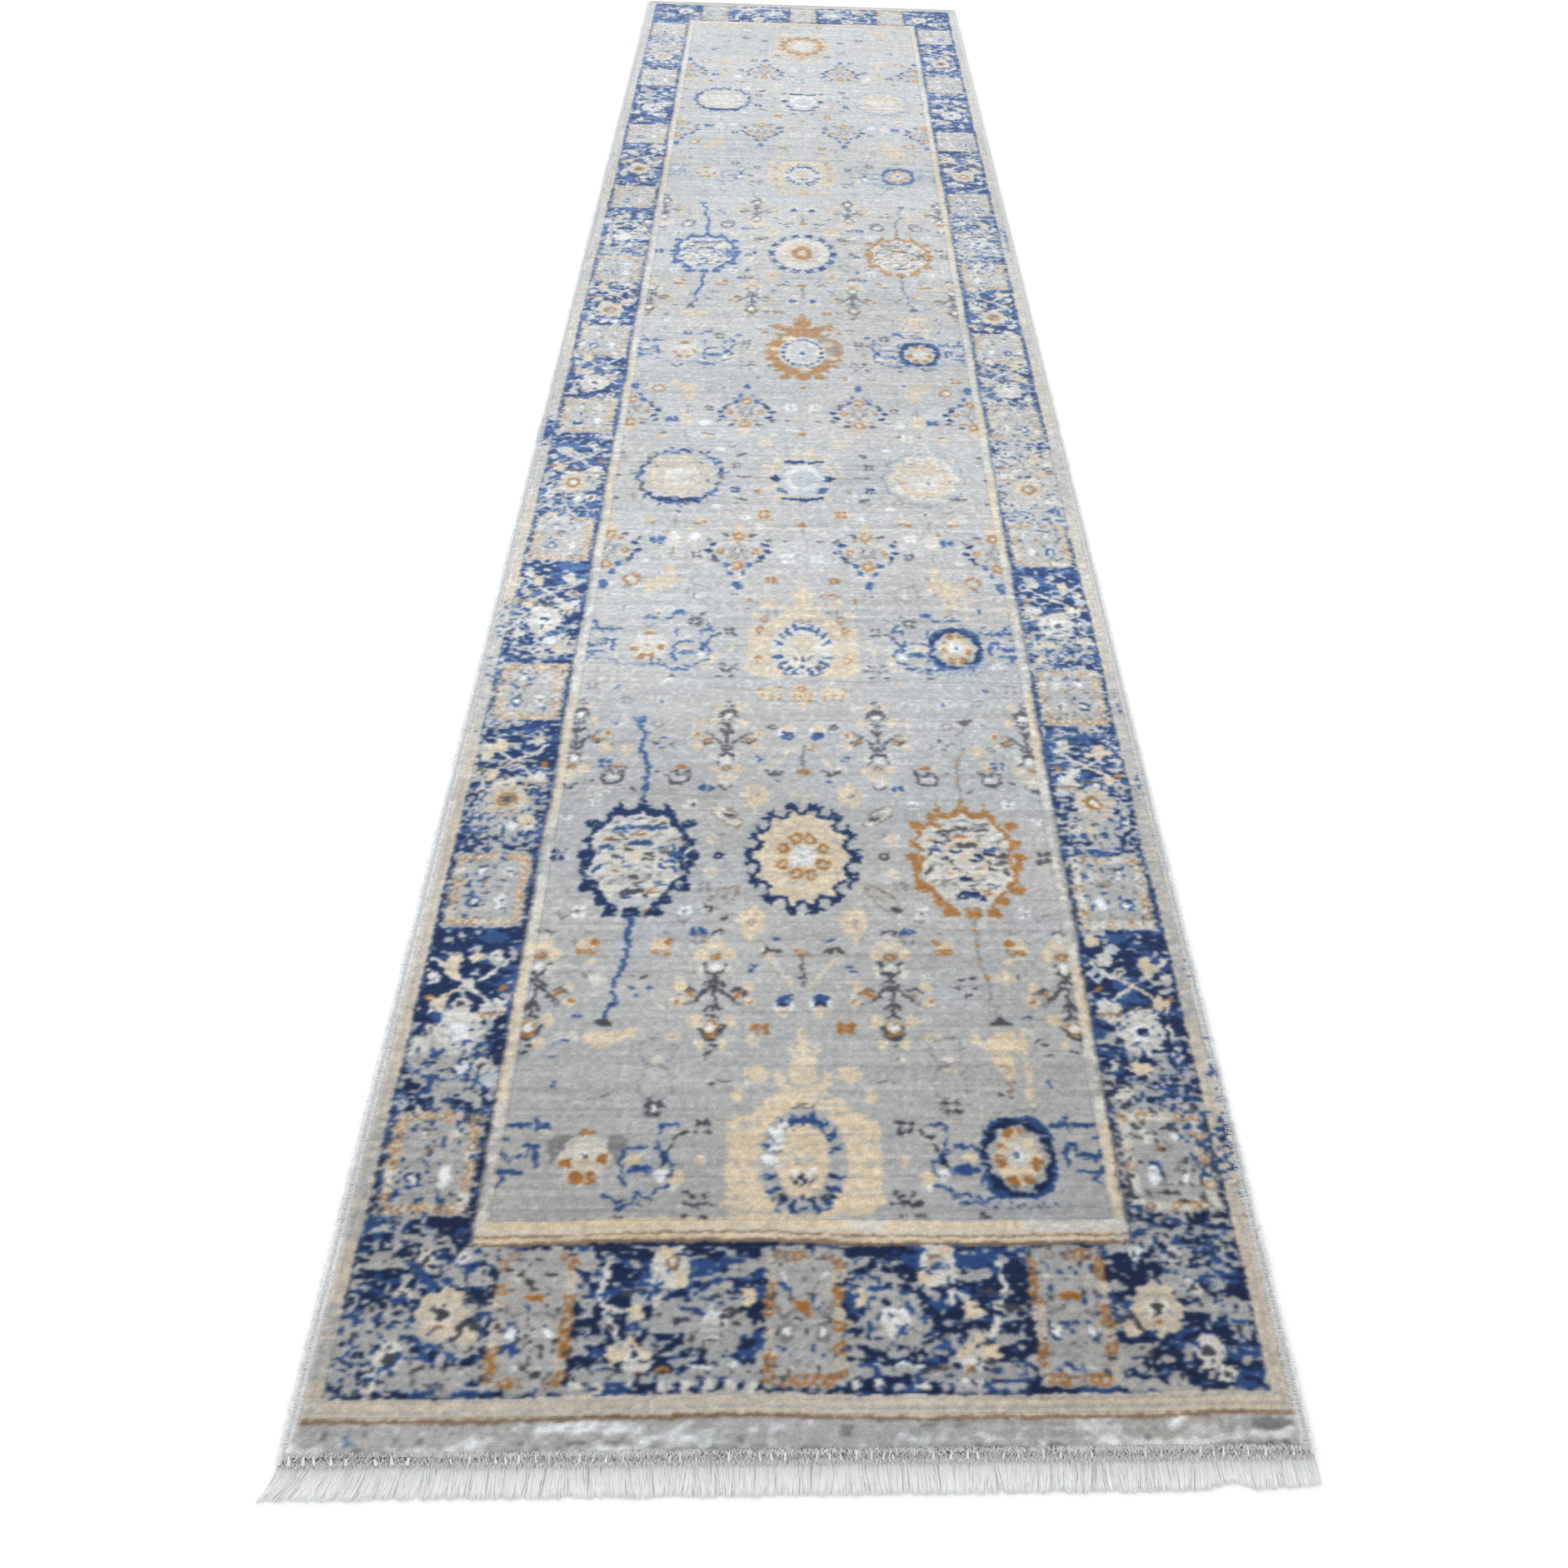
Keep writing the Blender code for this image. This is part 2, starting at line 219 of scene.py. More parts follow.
def centre_palmette(k, y, wreath=BLUE, block=CREAM, accent=TAN, ground=FIELD, crown=True, foot=True, wear=0):
    """The large palmette on the middle line: a stepped block, a crown of flames and a wreath of leaves."""
    k.at(0, y)
    half = [(0, -0.066), (0.060, -0.066), (0.079, -0.062), (0.080, -0.046), (0.086, -0.040), (0.086, 0.025), (0.079, 0.030), (0.078, 0.046), (0.056, 0.050), (0.050, 0.064), (0.036, 0.070), (0.024, 0.078), (0, 0.078)]
    k.poly(half + [(-px, py) for px, py in half[::-1]], block)
    for s in (-1, 1):
        k.disc(0.055 * s, 0.097, 0.017, block, ry=0.012, lobes=5, depth=0.3)
        k.disc(0.078 * s, 0.07, 0.006, block, ry=0.011)
        for q in (-0.045, -0.012, 0.03):
            k.disc(0.083 * s, q, 0.006, block, ry=0.012)
    if crown:
        k.poly([(-0.020, 0.070), (-0.016, 0.088), (-0.020, 0.105), (-0.010, 0.122), (-0.006, 0.148), (0, 0.158), (0.005, 0.145), (0.009, 0.124), (0.019, 0.106), (0.016, 0.088), (0.020, 0.070)], block)
        for s in (-1, 1):
            k.leaf(0.025 * s, 0.088, 0.034, 0.012, 55 * s, block)
            k.leaf(0.012 * s, 0.112, 0.05, 0.010, 78 * s, block)
            k.line([(0.010 * s, 0.075), (0.012 * s, 0.125)], 0.0013, PALE, gap=0.3, seed=3)
        k.line([(0, 0.07), (0.001, 0.14)], 0.0014, PALE, gap=0.2)
    if foot:
        for s in (-1, 1):
            k.disc(0.048 * s, -0.098, 0.026, block, ry=0.013, lobes=7, depth=0.3)
            for q in (0.034, 0.047, 0.060):
                k.line([(q * s, -0.100), (q * s, -0.112)], 0.0016, accent)
            k.line([(0.026 * s, -0.088), (0.050 * s, -0.084), (0.068 * s, -0.092)], 0.0013, accent, gap=0.3)
        k.disc(0, -0.098, 0.020, block, ry=0.02, lobes=6, depth=0.2)
        k.poly([(-0.008, -0.105), (0.008, -0.105), (0.003, -0.132), (-0.003, -0.132)], block)
        for q in (-0.012, -0.004, 0.004, 0.012):
            k.line([(q, -0.098), (q, -0.116)], 0.0016, accent)
        k.disc(0, -0.088, 0.006, accent, hole=0.55)
    if accent == TAN and not wear:
        for s in (-1, 1):
            for qx, qy in ((0.068, -0.030), (0.068, 0.037), (0.062, 0.062)):
                k.disc(qx * s, qy, 0.0055, accent, ry=0.009, hole=0.55)
        k.line([(0.030, 0.118), (0.036, 0.124), (0.045, 0.118), (0.052, 0.124), (0.060, 0.112)], 0.003, accent)
    # the wreath
    k.disc(0, -0.004, 0.050, ground, ry=0.060)
    k.disc(0, -0.002, 0.030, block if wear else ground, ry=0.042)
    def blade(px, py, deg):
        k.leaf(px, py, 0.022, 0.0065, deg, wreath)
    for a in range(20):
        t0 = math.radians(-62 + a * 18 + 8)
        px, py = 0.040 * math.cos(t0), -0.006 + 0.051 * math.sin(t0)
        if a % 5 == 3:
            continue
        k.leaf(px, py, 0.021, 0.0068, math.degrees(t0) + (18 if math.cos(t0) > 0 else -18), wreath)
        k.leaf(px * 0.90, py * 0.93, 0.007, 0.003, math.degrees(t0) + 90, NAVY)
    k.poly([(-0.013, 0.044), (0.014, 0.046), (0.026, 0.034), (0.020, 0.030), (0.008, 0.038), (-0.010, 0.037)], wreath)
    k.disc(0, -0.004, 0.0185, block, ry=0.031)
    for s in (-1, 1):
        k.disc(0.0075 * s, -0.003, 0.0042, FIELD, ry=0.0065)
        k.leaf(0.008 * s, -0.020, 0.018, 0.005, 52 * s, WHITE)
        k.leaf(0.010 * s, -0.026, 0.016, 0.0035, 40 * s, CHAR)
        k.disc(0.022 * s, -0.043, 0.006, CHAR, ry=0.0035)
    k.leaf(0, -0.026, 0.018, 0.005, 90, NAVY)
    k.disc(0, 0.017, 0.003, block)
    for j, (w, d) in enumerate(((0.034, -0.045), (0.029, -0.058))):
        for q in range(-3, 4):
            if (q + j) % 3 != 2:
                k.leaf(q * w / 3.1, d + 0.002 * math.cos(q * 1.7), 0.010, 0.004, 25 * (1 if q > 0 else -1), wreath if j else NAVY)
    k.dashes([(-0.009, 0.057), (0.002, 0.055), (0.012, 0.058), (-0.002, 0.062)], 0.010, 0.0025, CHAR)


def medallion(k, x, y, blue=BLUE, navy=NAVY, petal=CREAM, strong=1.0):
    """The small eight-sided medallion to the right of the palmette."""
    k.at(x, y)
    pts = [(0.043, 0.018), (0.040, 0.030), (0.030, 0.043), (0.012, 0.047), (-0.010, 0.046), (-0.028, 0.040), (-0.038, 0.028), (-0.042, 0.010), (-0.042, -0.018), (-0.038, -0.036), (-0.026, -0.047), (0.0, -0.046), (0.024, -0.046), (0.037, -0.034), (0.043, -0.015)]
    k.poly(pts, blue)
    k.disc(0, 0, 0.0425, navy, ry=0.0455, hole=0.78, lobes=11, depth=0.06)
    k.disc(0, -0.001, 0.0355, FIELD, ry=0.0375, lobes=9, depth=0.14)
    k.ring_of(22, 0, -0.001, 0.031, 0.034, lambda px, py, d: k.disc(px, py, 0.0014, DGREY))
    k.disc(0, -0.001, 0.0285, petal, ry=0.0305, lobes=8, depth=0.28)
    for px, py, rx, ry in ((-0.006, 0.027, 0.008, 0.006), (0.008, 0.027, 0.007, 0.005), (-0.020, -0.004, 0.006, 0.008), (0.020, -0.008, 0.006, 0.007), (-0.008, -0.027, 0.009, 0.006), (0.009, -0.026, 0.008, 0.006), (-0.017, 0.013, 0.004, 0.004)):
        k.disc(px, py, rx, TAN, ry=ry)
    k.disc(0, 0.029, 0.003, petal, ry=0.006)
    k.disc(0, -0.027, 0.0025, petal, ry=0.006)
    k.disc(0, 0.001, 0.0145, PALE, ry=0.016, lobes=6, depth=0.15)
    k.disc(0, 0.001, 0.008, WHITE)
    k.disc(0, 0.001, 0.0035, blue, hole=0.3)
    k.line([(-0.03, 0.052), (0.03, 0.052)], 0.002, DGREY, gap=0.3)
    for q in range(-6, 7):
        k.disc(q * 0.006, -0.052 - 0.004 * (q % 2), 0.0016, blue)


def worn_flower(k, x, y, petal=PALE, wing=DGREY, tan=TAN):
    k.at(x, y)
    for s in (-1, 1):
        k.poly([(0.020 * s, 0.026), (0.040 * s, 0.026), (0.047 * s, 0.008), (0.040 * s, -0.006), (0.026 * s, 0.004)], wing)
    k.disc(0, -0.002, 0.030, petal, ry=0.030, lobes=8, depth=0.18)
    k.ring_of(18, 0, 0, 0.024, 0.024, lambda px, py, d: k.disc(px, py, 0.0015, CART))
    k.leaf(-0.001, 0.027, 0.024, 0.006, 0, tan)
    for px, py, rx, ry in ((-0.021, -0.006, 0.006, 0.006), (0.020, -0.004, 0.006, 0.007), (-0.009, -0.022, 0.008, 0.007), (0.006, -0.022, 0.006, 0.007)):
        k.disc(px, py, rx, tan, ry=ry)
    k.disc(-0.020, 0.002, 0.006, petal, ry=0.004)
    k.disc(0, -0.006, 0.010, CREAM, ry=0.009)
    k.disc(0, 0.003, 0.005, WHITE)
    k.disc(0, 0.001, 0.0028, CHAR)


def scroll(k, x, y, mx, blue=BLUE, full=True):
    """The blue scroll with its white seed, between the palmette and a flower. Drawn for the left side."""
    k.at(x, y, mx=mx)
    k.line([(0.030, 0.036), (0.012, 0.037), (0.008, 0.018), (0.012, 0.004)], 0.0028, blue, gap=0.12)
    k.line([(0.030, 0.036), (0.040, 0.030), (0.026, 0.022), (0.020, 0.006)], 0.0030, CHAR, gap=0.2, seed=4)
    k.leaf(0.015, -0.002, 0.022, 0.007, 80, NAVY)
    k.line([(-0.030, 0.002), (-0.022, 0.010), (-0.002, 0.012), (0.016, 0.004), (0.026, -0.010), (0.024, -0.030), (0.006, -0.038)], 0.0030, blue, gap=0.10)
    k.line([(-0.030, 0.002), (-0.031, -0.020), (-0.024, -0.030), (-0.010, -0.026)], 0.0035, blue, gap=0.1)
    k.disc(-0.016, -0.002, 0.010, CREAM, ry=0.006, turn=0.4)
    k.leaf(-0.010, -0.014, 0.032, 0.010, 8, blue)
    k.leaf(0.004, -0.016, 0.018, 0.006, 20, LBLUE)
    k.disc(0.014, -0.020, 0.007, WHITE)
    k.disc(0.033, -0.024, 0.008, CREAM, ry=0.009)
    k.disc(0.030, -0.034, 0.005, WHITE, ry=0.003)
    if full:
        k.line([(-0.045, -0.043), (-0.028, -0.048), (-0.012, -0.042), (0.008, -0.045)], 0.0030, blue, gap=0.08)
        k.line([(-0.030, -0.054), (-0.014, -0.049), (0.004, -0.054)], 0.0026, blue, gap=0.15)


def end_marks(k, x, y, mx, blue=BLUE):
    """Blue dashes and hooks beyond the flower, next to the inner stripe."""
    k.at(x, y, mx=mx)
    k.line([(-0.030, 0.036), (0.018, 0.036)], 0.0042, blue, gap=0.08)
    k.line([(0.000, 0.030), (0.002, 0.043)], 0.003, blue)
    k.line([(-0.036, 0.022), (-0.028, 0.020)], 0.003, blue)
    k.line([(-0.030, 0.004), (-0.026, -0.002), (-0.012, 0.000)], 0.0055, blue)
    k.line([(-0.004, 0.014), (0.006, 0.012), (0.008, -0.010)], 0.0050, blue)
    k.line([(-0.002, 0.012), (-0.004, 0.000)], 0.003, blue)
    k.line([(-0.034, -0.014), (-0.020, -0.016), (0.006, -0.016)], 0.0034, blue, gap=0.15)
    k.line([(-0.034, -0.016), (-0.022, -0.022), (-0.030, -0.030)], 0.003, blue, gap=0.15)
    k.disc(-0.034, -0.022, 0.005, CREAM, ry=0.003)


def row_a(k, y, n):
    """The row with the block palmette. n numbers the rows from the near end."""
    rich = n in (3, 5)
    far = y > 0.5
    blue = BLUE if y < 0.5 else LBLUE
    centre_palmette(k, y, wreath=BLUE, block=TAN if n == 3 else CREAM, accent=TAN, ground=SKY if n == 3 else (FIELD if n == 1 else PALE), crown=not far, foot=n > 1, wear=1 if n in (1, 3) else 0)
    if n == 3:
        k.at(0, y)
        k.rect(-0.092, 0.092, -0.125, 0.072, FIELD)
        k.disc(0, -0.002, 0.074, TAN, ry=0.086, lobes=20, depth=0.05)
        k.disc(0.034, 0.012, 0.052, BROWN, ry=0.050, lobes=12, depth=0.10)
        k.ring_of(22, 0, -0.002, 0.077, 0.088, lambda px, py, d: k.leaf(px, py, 0.020, 0.0095, d, TAN))
        for sx in (-1, 1):
            k.disc(0.034 * sx, 0.088, 0.012, TAN, ry=0.010, lobes=5, depth=0.3)
            k.disc(0.036 * sx, -0.092, 0.014, TAN, ry=0.010, lobes=5, depth=0.3)
            k.leaf(0.014 * sx, 0.104, 0.026, 0.007, 90, TAN)
        k.disc(0, -0.096, 0.010, TAN, ry=0.014, lobes=5, depth=0.3)
        k.disc(0, -0.002, 0.051, FIELD, ry=0.060)
        k.disc(0, -0.002, 0.047, PALE, ry=0.055)
        for px, py, r in ((-0.030, 0.052, 0.016), (0.052, 0.030, 0.014), (0.060, -0.020, 0.012), (-0.058, 0.010, 0.011), (0.006, -0.066, 0.012)):
            k.disc(px, py, r, CREAM, ry=r * 0.7, lobes=5, depth=0.3)
        k.ring_of(18, 0, -0.002, 0.040, 0.048, lambda px, py, d: k.leaf(px, py, 0.017, 0.0068, d + 60, BLUE if int(d) % 3 else NAVY))
        k.disc(0, -0.002, 0.026, SKY, ry=0.034)
        k.leaf(0, -0.004, 0.018, 0.010, 90, BLUE)
        k.disc(0, 0.010, 0.006, WHITE)
    if n == 5:
        k.disc(0, 0, 0.078, CREAM, ry=0.088, lobes=14, depth=0.2)
        k.disc(0, 0, 0.070, TAN, ry=0.080, hole=0.72, lobes=14, depth=0.2)
        k.disc(0, 0, 0.048, CREAM, ry=0.055)
        k.disc(0, 0, 0.030, PALE, ry=0.036)
        k.ring_of(10, 0, 0, 0.040, 0.048, lambda px, py, d: k.disc(px, py, 0.005, TAN, hole=0.4))
    if n == 1:
        k.at(0, y)
        for px, py, lg, w, deg in ((-0.022, 0.036, 0.030, 0.010, 62), (-0.030, 0.024, 0.026, 0.008, 130), (-0.032, 0.010, 0.022, 0.007, 25), (-0.036, -0.004, 0.026, 0.008, 150), (-0.024, 0.020, 0.020, 0.007, 70), (-0.028, -0.006, 0.024, 0.006, 165), (-0.037, 0.016, 0.014, 0.006, 100)):
            k.leaf(px, py, lg, w, deg, WHITE)
        k.dashes([(-0.030, 0.046), (-0.012, 0.030), (-0.024, 0.008)], 0.005, 0.003, CHAR)
    if n != 5:
        medallion(k, 0.242, y, blue=BLUE, navy=NAVY if y < 0 else BLUE, petal=CREAM)
        worn_flower(k, -0.242, y, wing=DGREY if n == 1 else FIELD, petal=PALE)
        for s in (-1, 1):
            scroll(k, 0.172 * s, y, -s, blue=BLUE if y < 0 else LBLUE)
            end_marks(k, 0.305 * s, y, -s, blue=BLUE if y < 0 else LBLUE)
            if n in (2, 3):
                k.at(0, y, mx=s)
                k.line([(0.255, 0.063), (0.212, 0.062), (0.204, 0.074), (0.196, 0.078), (0.190, 0.070), (0.160, 0.060), (0.146, 0.042), (0.142, 0.022), (0.152, 0.004)], 0.0030, BLUE, gap=0.08)
                k.disc(0.199, 0.076, 0.009, BLUE, ry=0.006)
                k.line([(0.200, 0.040), (0.199, -0.010)], 0.003, BLUE, gap=0.2)
                k.line([(0.335, -0.030), (0.290, -0.032), (0.285, -0.042), (0.210, -0.042)], 0.0022, LBLUE, gap=0.3)
                k.line([(0.332, 0.055), (0.318, 0.030), (0.305, 0.024)], 0.004, BLUE, gap=0.1)
    # charcoal flowers of four dots, wavy dashes and thin outlines
    for s in (-1, 1):
        k.at(0, y, mx=s)
        k.quatre(0.116, 0.034, 0.0085, CHAR)
        k.quatre(0.172, 0.056, 0.0095, CHAR, eye=WHITE)
        k.disc(0.172, 0.056, 0.013, DGREY, hole=0.85)
        k.disc(0.113, -0.005, 0.005, CREAM, ry=0.007)
        k.dashes([(0.104, -0.039), (0.125, -0.039), (0.108, -0.043), (0.122, -0.043)], 0.010, 0.003, CHAR)
        k.line([(0.098, -0.051), (0.108, -0.049), (0.118, -0.053), (0.130, -0.049)], 0.0026, CHAR, gap=0.15)
        k.dashes([(0.108, -0.064), (0.128, -0.064), (0.200, -0.064)], 0.010, 0.0045, CHAR)
        k.disc(0.172, 0.125, 0.022, DGREY, ry=0.017, hole=0.90)
        k.disc(0.172, 0.085, 0.020, DGREY, ry=0.022, hole=0.93)
        k.disc(0.172, 0.115, 0.007, PALE, ry=0.005)
        k.bow(0.052, 0.154, 0.020, 0.018, TAN)
        k.dashes([(0.090, 0.087), (0.098, 0.089), (0.106, 0.086)], 0.008, 0.0022, CHAR)
        k.dashes([(0.285, 0.138), (0.292, 0.133), (0.295, 0.120)], 0.010, 0.003, BLUE if s < 0 else CHAR)
        k.line([(0.288, 0.100), (0.290, 0.070)], 0.002, BLUE, gap=0.4)
        k.dashes([(0.232, 0.072), (0.245, 0.068)], 0.010, 0.0035, CHAR)
    # a broken cream stem head, larger on the right
    k.at(0.242, y)
    k.poly([(-0.032, 0.155), (-0.028, 0.134), (-0.018, 0.142), (-0.004, 0.150), (0.012, 0.150), (0.022, 0.140), (0.020, 0.122), (0.006, 0.126), (0.010, 0.108), (0.012, 0.092), (-0.002, 0.090), (-0.012, 0.100), (-0.016, 0.122), (-0.028, 0.128), (-0.038, 0.138), (-0.036, 0.150)], CREAM)
    k.line([(0.024, 0.150), (0.026, 0.110), (0.022, 0.060)], 0.006, CREAM, gap=0.12)
    k.line([(0.000, 0.086), (0.0, 0.070)], 0.002, BROWN)
    k.line([(-0.006, 0.086), (0.008, 0.086)], 0.002, BROWN)
    k.line([(-0.006, 0.106), (0.002, 0.102)], 0.002, BROWN)
    k.at(-0.236, y)
    k.poly([(-0.022, 0.154), (-0.026, 0.138), (-0.012, 0.128), (0.012, 0.130), (0.020, 0.140), (0.036, 0.144), (0.038, 0.160), (0.018, 0.152)], CREAM)


def centre_ring(k, x, y, rim=BLUE, inner=CREAM, loop=TAN, core=WHITE):
    """The sunflower ring on the middle line: a scalloped rim with pairs of outward lobes, and tan loops."""
    k.at(x, y)
    k.disc(0, 0, 0.0635, inner, ry=0.0755)
    n = 14
    for q in range(n):
        a = 2 * math.pi * (q + 0.5) / n
        c, t = math.cos(a), math.sin(a)
        k.disc(0.0690 * c, 0.0815 * t, 0.0125, rim, ry=0.0125)
        k.disc(0.0705 * c, 0.0830 * t, 0.0080, FIELD, ry=0.0080)
        k.leaf(0.0800 * c, 0.0935 * t, 0.026, 0.013, math.degrees(a), FIELD)
    for q in range(n):
        a = 2 * math.pi * q / n
        c, t = math.cos(a), math.sin(a)
        k.disc(0.0712 * c, 0.0845 * t, 0.0078, rim if q % 3 else NAVY, ry=0.0068, turn=a)
        k.leaf(0.062 * c, 0.0735 * t, 0.014, 0.0065, math.degrees(a), inner)
    k.disc(0, 0, 0.0535, inner, ry=0.0640)
    for px, py in ((0.0095, 0.029), (0.027, 0.0125), (0.027, -0.0125), (0.0095, -0.029)):
        for s in (-1, 1):
            k.disc(px * s, py, 0.0088, loop, ry=0.0095, hole=0.45)
    k.disc(0, 0, 0.018, core, ry=0.019, lobes=8, depth=0.3)
    k.ring_of(8, 0, 0, 0.011, 0.011, lambda px, py, d: k.leaf(px, py, 0.007, 0.0018, d, CART), phase=0.4)
    k.disc(0, 0, 0.0035, CART)


def side_ring(k, x, y, mx, rim=BLUE, fill=(PALE, DGREY, CHAR), bottom=True, loose=0.0, mark=BLUE):
    """The large ring left or right of the middle: a broken scalloped line with blocks, and a streaked flower in it."""
    k.at(x, y, mx=mx)
    k.disc(0, 0.0, 0.066, fill[0], ry=0.074)
    right = [(0, 0.083), (0.010, 0.073), (0.021, 0.069), (0.034, 0.075), (0.042, 0.066), (0.045, 0.054), (0.055, 0.044), (0.061, 0.033), (0.065, 0.021), (0.059, 0.010), (0.056, 0.000), (0.060, -0.014), (0.067, -0.028), (0.062, -0.040), (0.050, -0.046), (0.045, -0.056), (0.038, -0.068), (0.028, -0.076)]
    for sx in (1, -1):
        pts = [(px * sx * (1.06 if sx < 0 else 1.0), py) for px, py in right]
        k.line(pts[:5], 0.0098, rim, gap=loose, seed=2 + sx)
        k.line(pts[4:], 0.0070 if rim != TAN else 0.0058, rim, gap=loose, seed=5 + sx)
        k.disc(0.066 * sx, 0.053, 0.0095, rim, ry=0.0075)
        k.disc(0.072 * sx, 0.001, 0.0095, rim, ry=0.0080)
        k.disc(0.070 * sx, -0.014, 0.0060, rim, ry=0.0070)
        k.disc(0.070 * sx, 0.022, 0.0060, rim, ry=0.0070)
        k.disc(0.063 * sx, -0.050, 0.0110, rim, ry=0.0075)
        k.disc(0.042 * sx, -0.071, 0.0075, rim, ry=0.0065)
        k.poly([(0.024 * sx, 0.072), (0.042 * sx, 0.072), (0.036 * sx, 0.084), (0.033 * sx, 0.094), (0.030 * sx, 0.084)], rim)
        k.rect(min(0.019 * sx, 0.039 * sx), max(0.019 * sx, 0.039 * sx), -0.094, -0.080, rim)
    k.poly([(-0.012, 0.078), (0.012, 0.078), (0.004, 0.088), (0.002, 0.102), (-0.002, 0.102), (-0.004, 0.088)], rim)
    k.rect(-0.010, 0.010, -0.096, -0.080, rim)
    for q in range(150):
        a = q * 2.399
        r = 0.012 + 0.048 * ((q * 29) % 37) / 37
        px, py = r * math.cos(a), r * 1.12 * math.sin(a)
        k.leaf(px, py, 0.010 + 0.004 * (q % 3), 0.0040, (q % 3 - 1) * 10, (fill[1], FIELD, CHAR, fill[1], mark, fill[0], FIELD, DGREY, BLUE, fill[1], TAN)[q % 11])
    k.disc(0, 0, 0.031, CREAM if rim == TAN else fill[0], ry=0.036, hole=0.80, lobes=10, depth=0.10)
    k.disc(0, 0, 0.019, fill[0], ry=0.021, lobes=8, depth=0.15)
    k.disc(-0.002, 0.0, 0.008, CREAM, ry=0.006)
    k.dashes([(-0.012, 0.008), (0.010, -0.006), (-0.030, -0.001), (0.016, 0.002), (-0.004, -0.034), (0.032, 0.006), (-0.036, 0.024)], 0.016, 0.0050, fill[2])
    k.line([(-0.036, 0.042), (-0.020, 0.047), (0.004, 0.047), (0.018, 0.044), (0.032, 0.046)], 0.0052, mark, gap=0.06)
    k.rect(-0.014, 0.018, 0.015, 0.024, mark)
    k.leaf(-0.004, 0.034, 0.030, 0.0035, 0, TAN)
    k.line([(-0.016, -0.064), (-0.012, -0.057), (0.012, -0.057), (0.016, -0.064)], 0.0050, fill[2])
    k.line([(-0.022, -0.071), (0.022, -0.071)], 0.0030, SKY)
    for q in (-1, 1):
        k.line([(0.050 * q, 0.020), (0.044 * q, 0.016), (0.052 * q, 0.004)], 0.0034, mark, gap=0.2, seed=q + 3)
        k.line([(0.048 * q, -0.018), (0.056 * q, -0.026)], 0.0040, mark)
    k.disc(0.050, 0.002, 0.0100, mark, ry=0.0050)
    k.disc(0.046, -0.010, 0.0080, mark, ry=0.0040)


def stem(k, x, y, mx, my, ink=BLUE, ink2=None, cap=CHAR):
    """A thin crooked stem from a ring, that ends in a cap."""
    k.at(x, y, mx=mx, my=my)
    w = 0.0058 if ink2 is None else 0.0034
    k.line([(0, -0.097), (0.001, -0.120), (0.000, -0.150), (0.003, -0.167)], w, ink, ink2)
    k.line([(0.003, -0.167), (0.012, -0.185), (0.012, -0.202)], w * 0.9, ink, ink2, gap=0.08)
    k.line([(0.012, -0.202), (0.006, -0.216), (0.016, -0.222), (0.019, -0.234)], w * 0.75, ink, ink2, gap=0.06)
    k.poly([(0.008, -0.246), (0.030, -0.246), (0.026, -0.238), (0.023, -0.236), (0.014, -0.236), (0.012, -0.240)], cap)


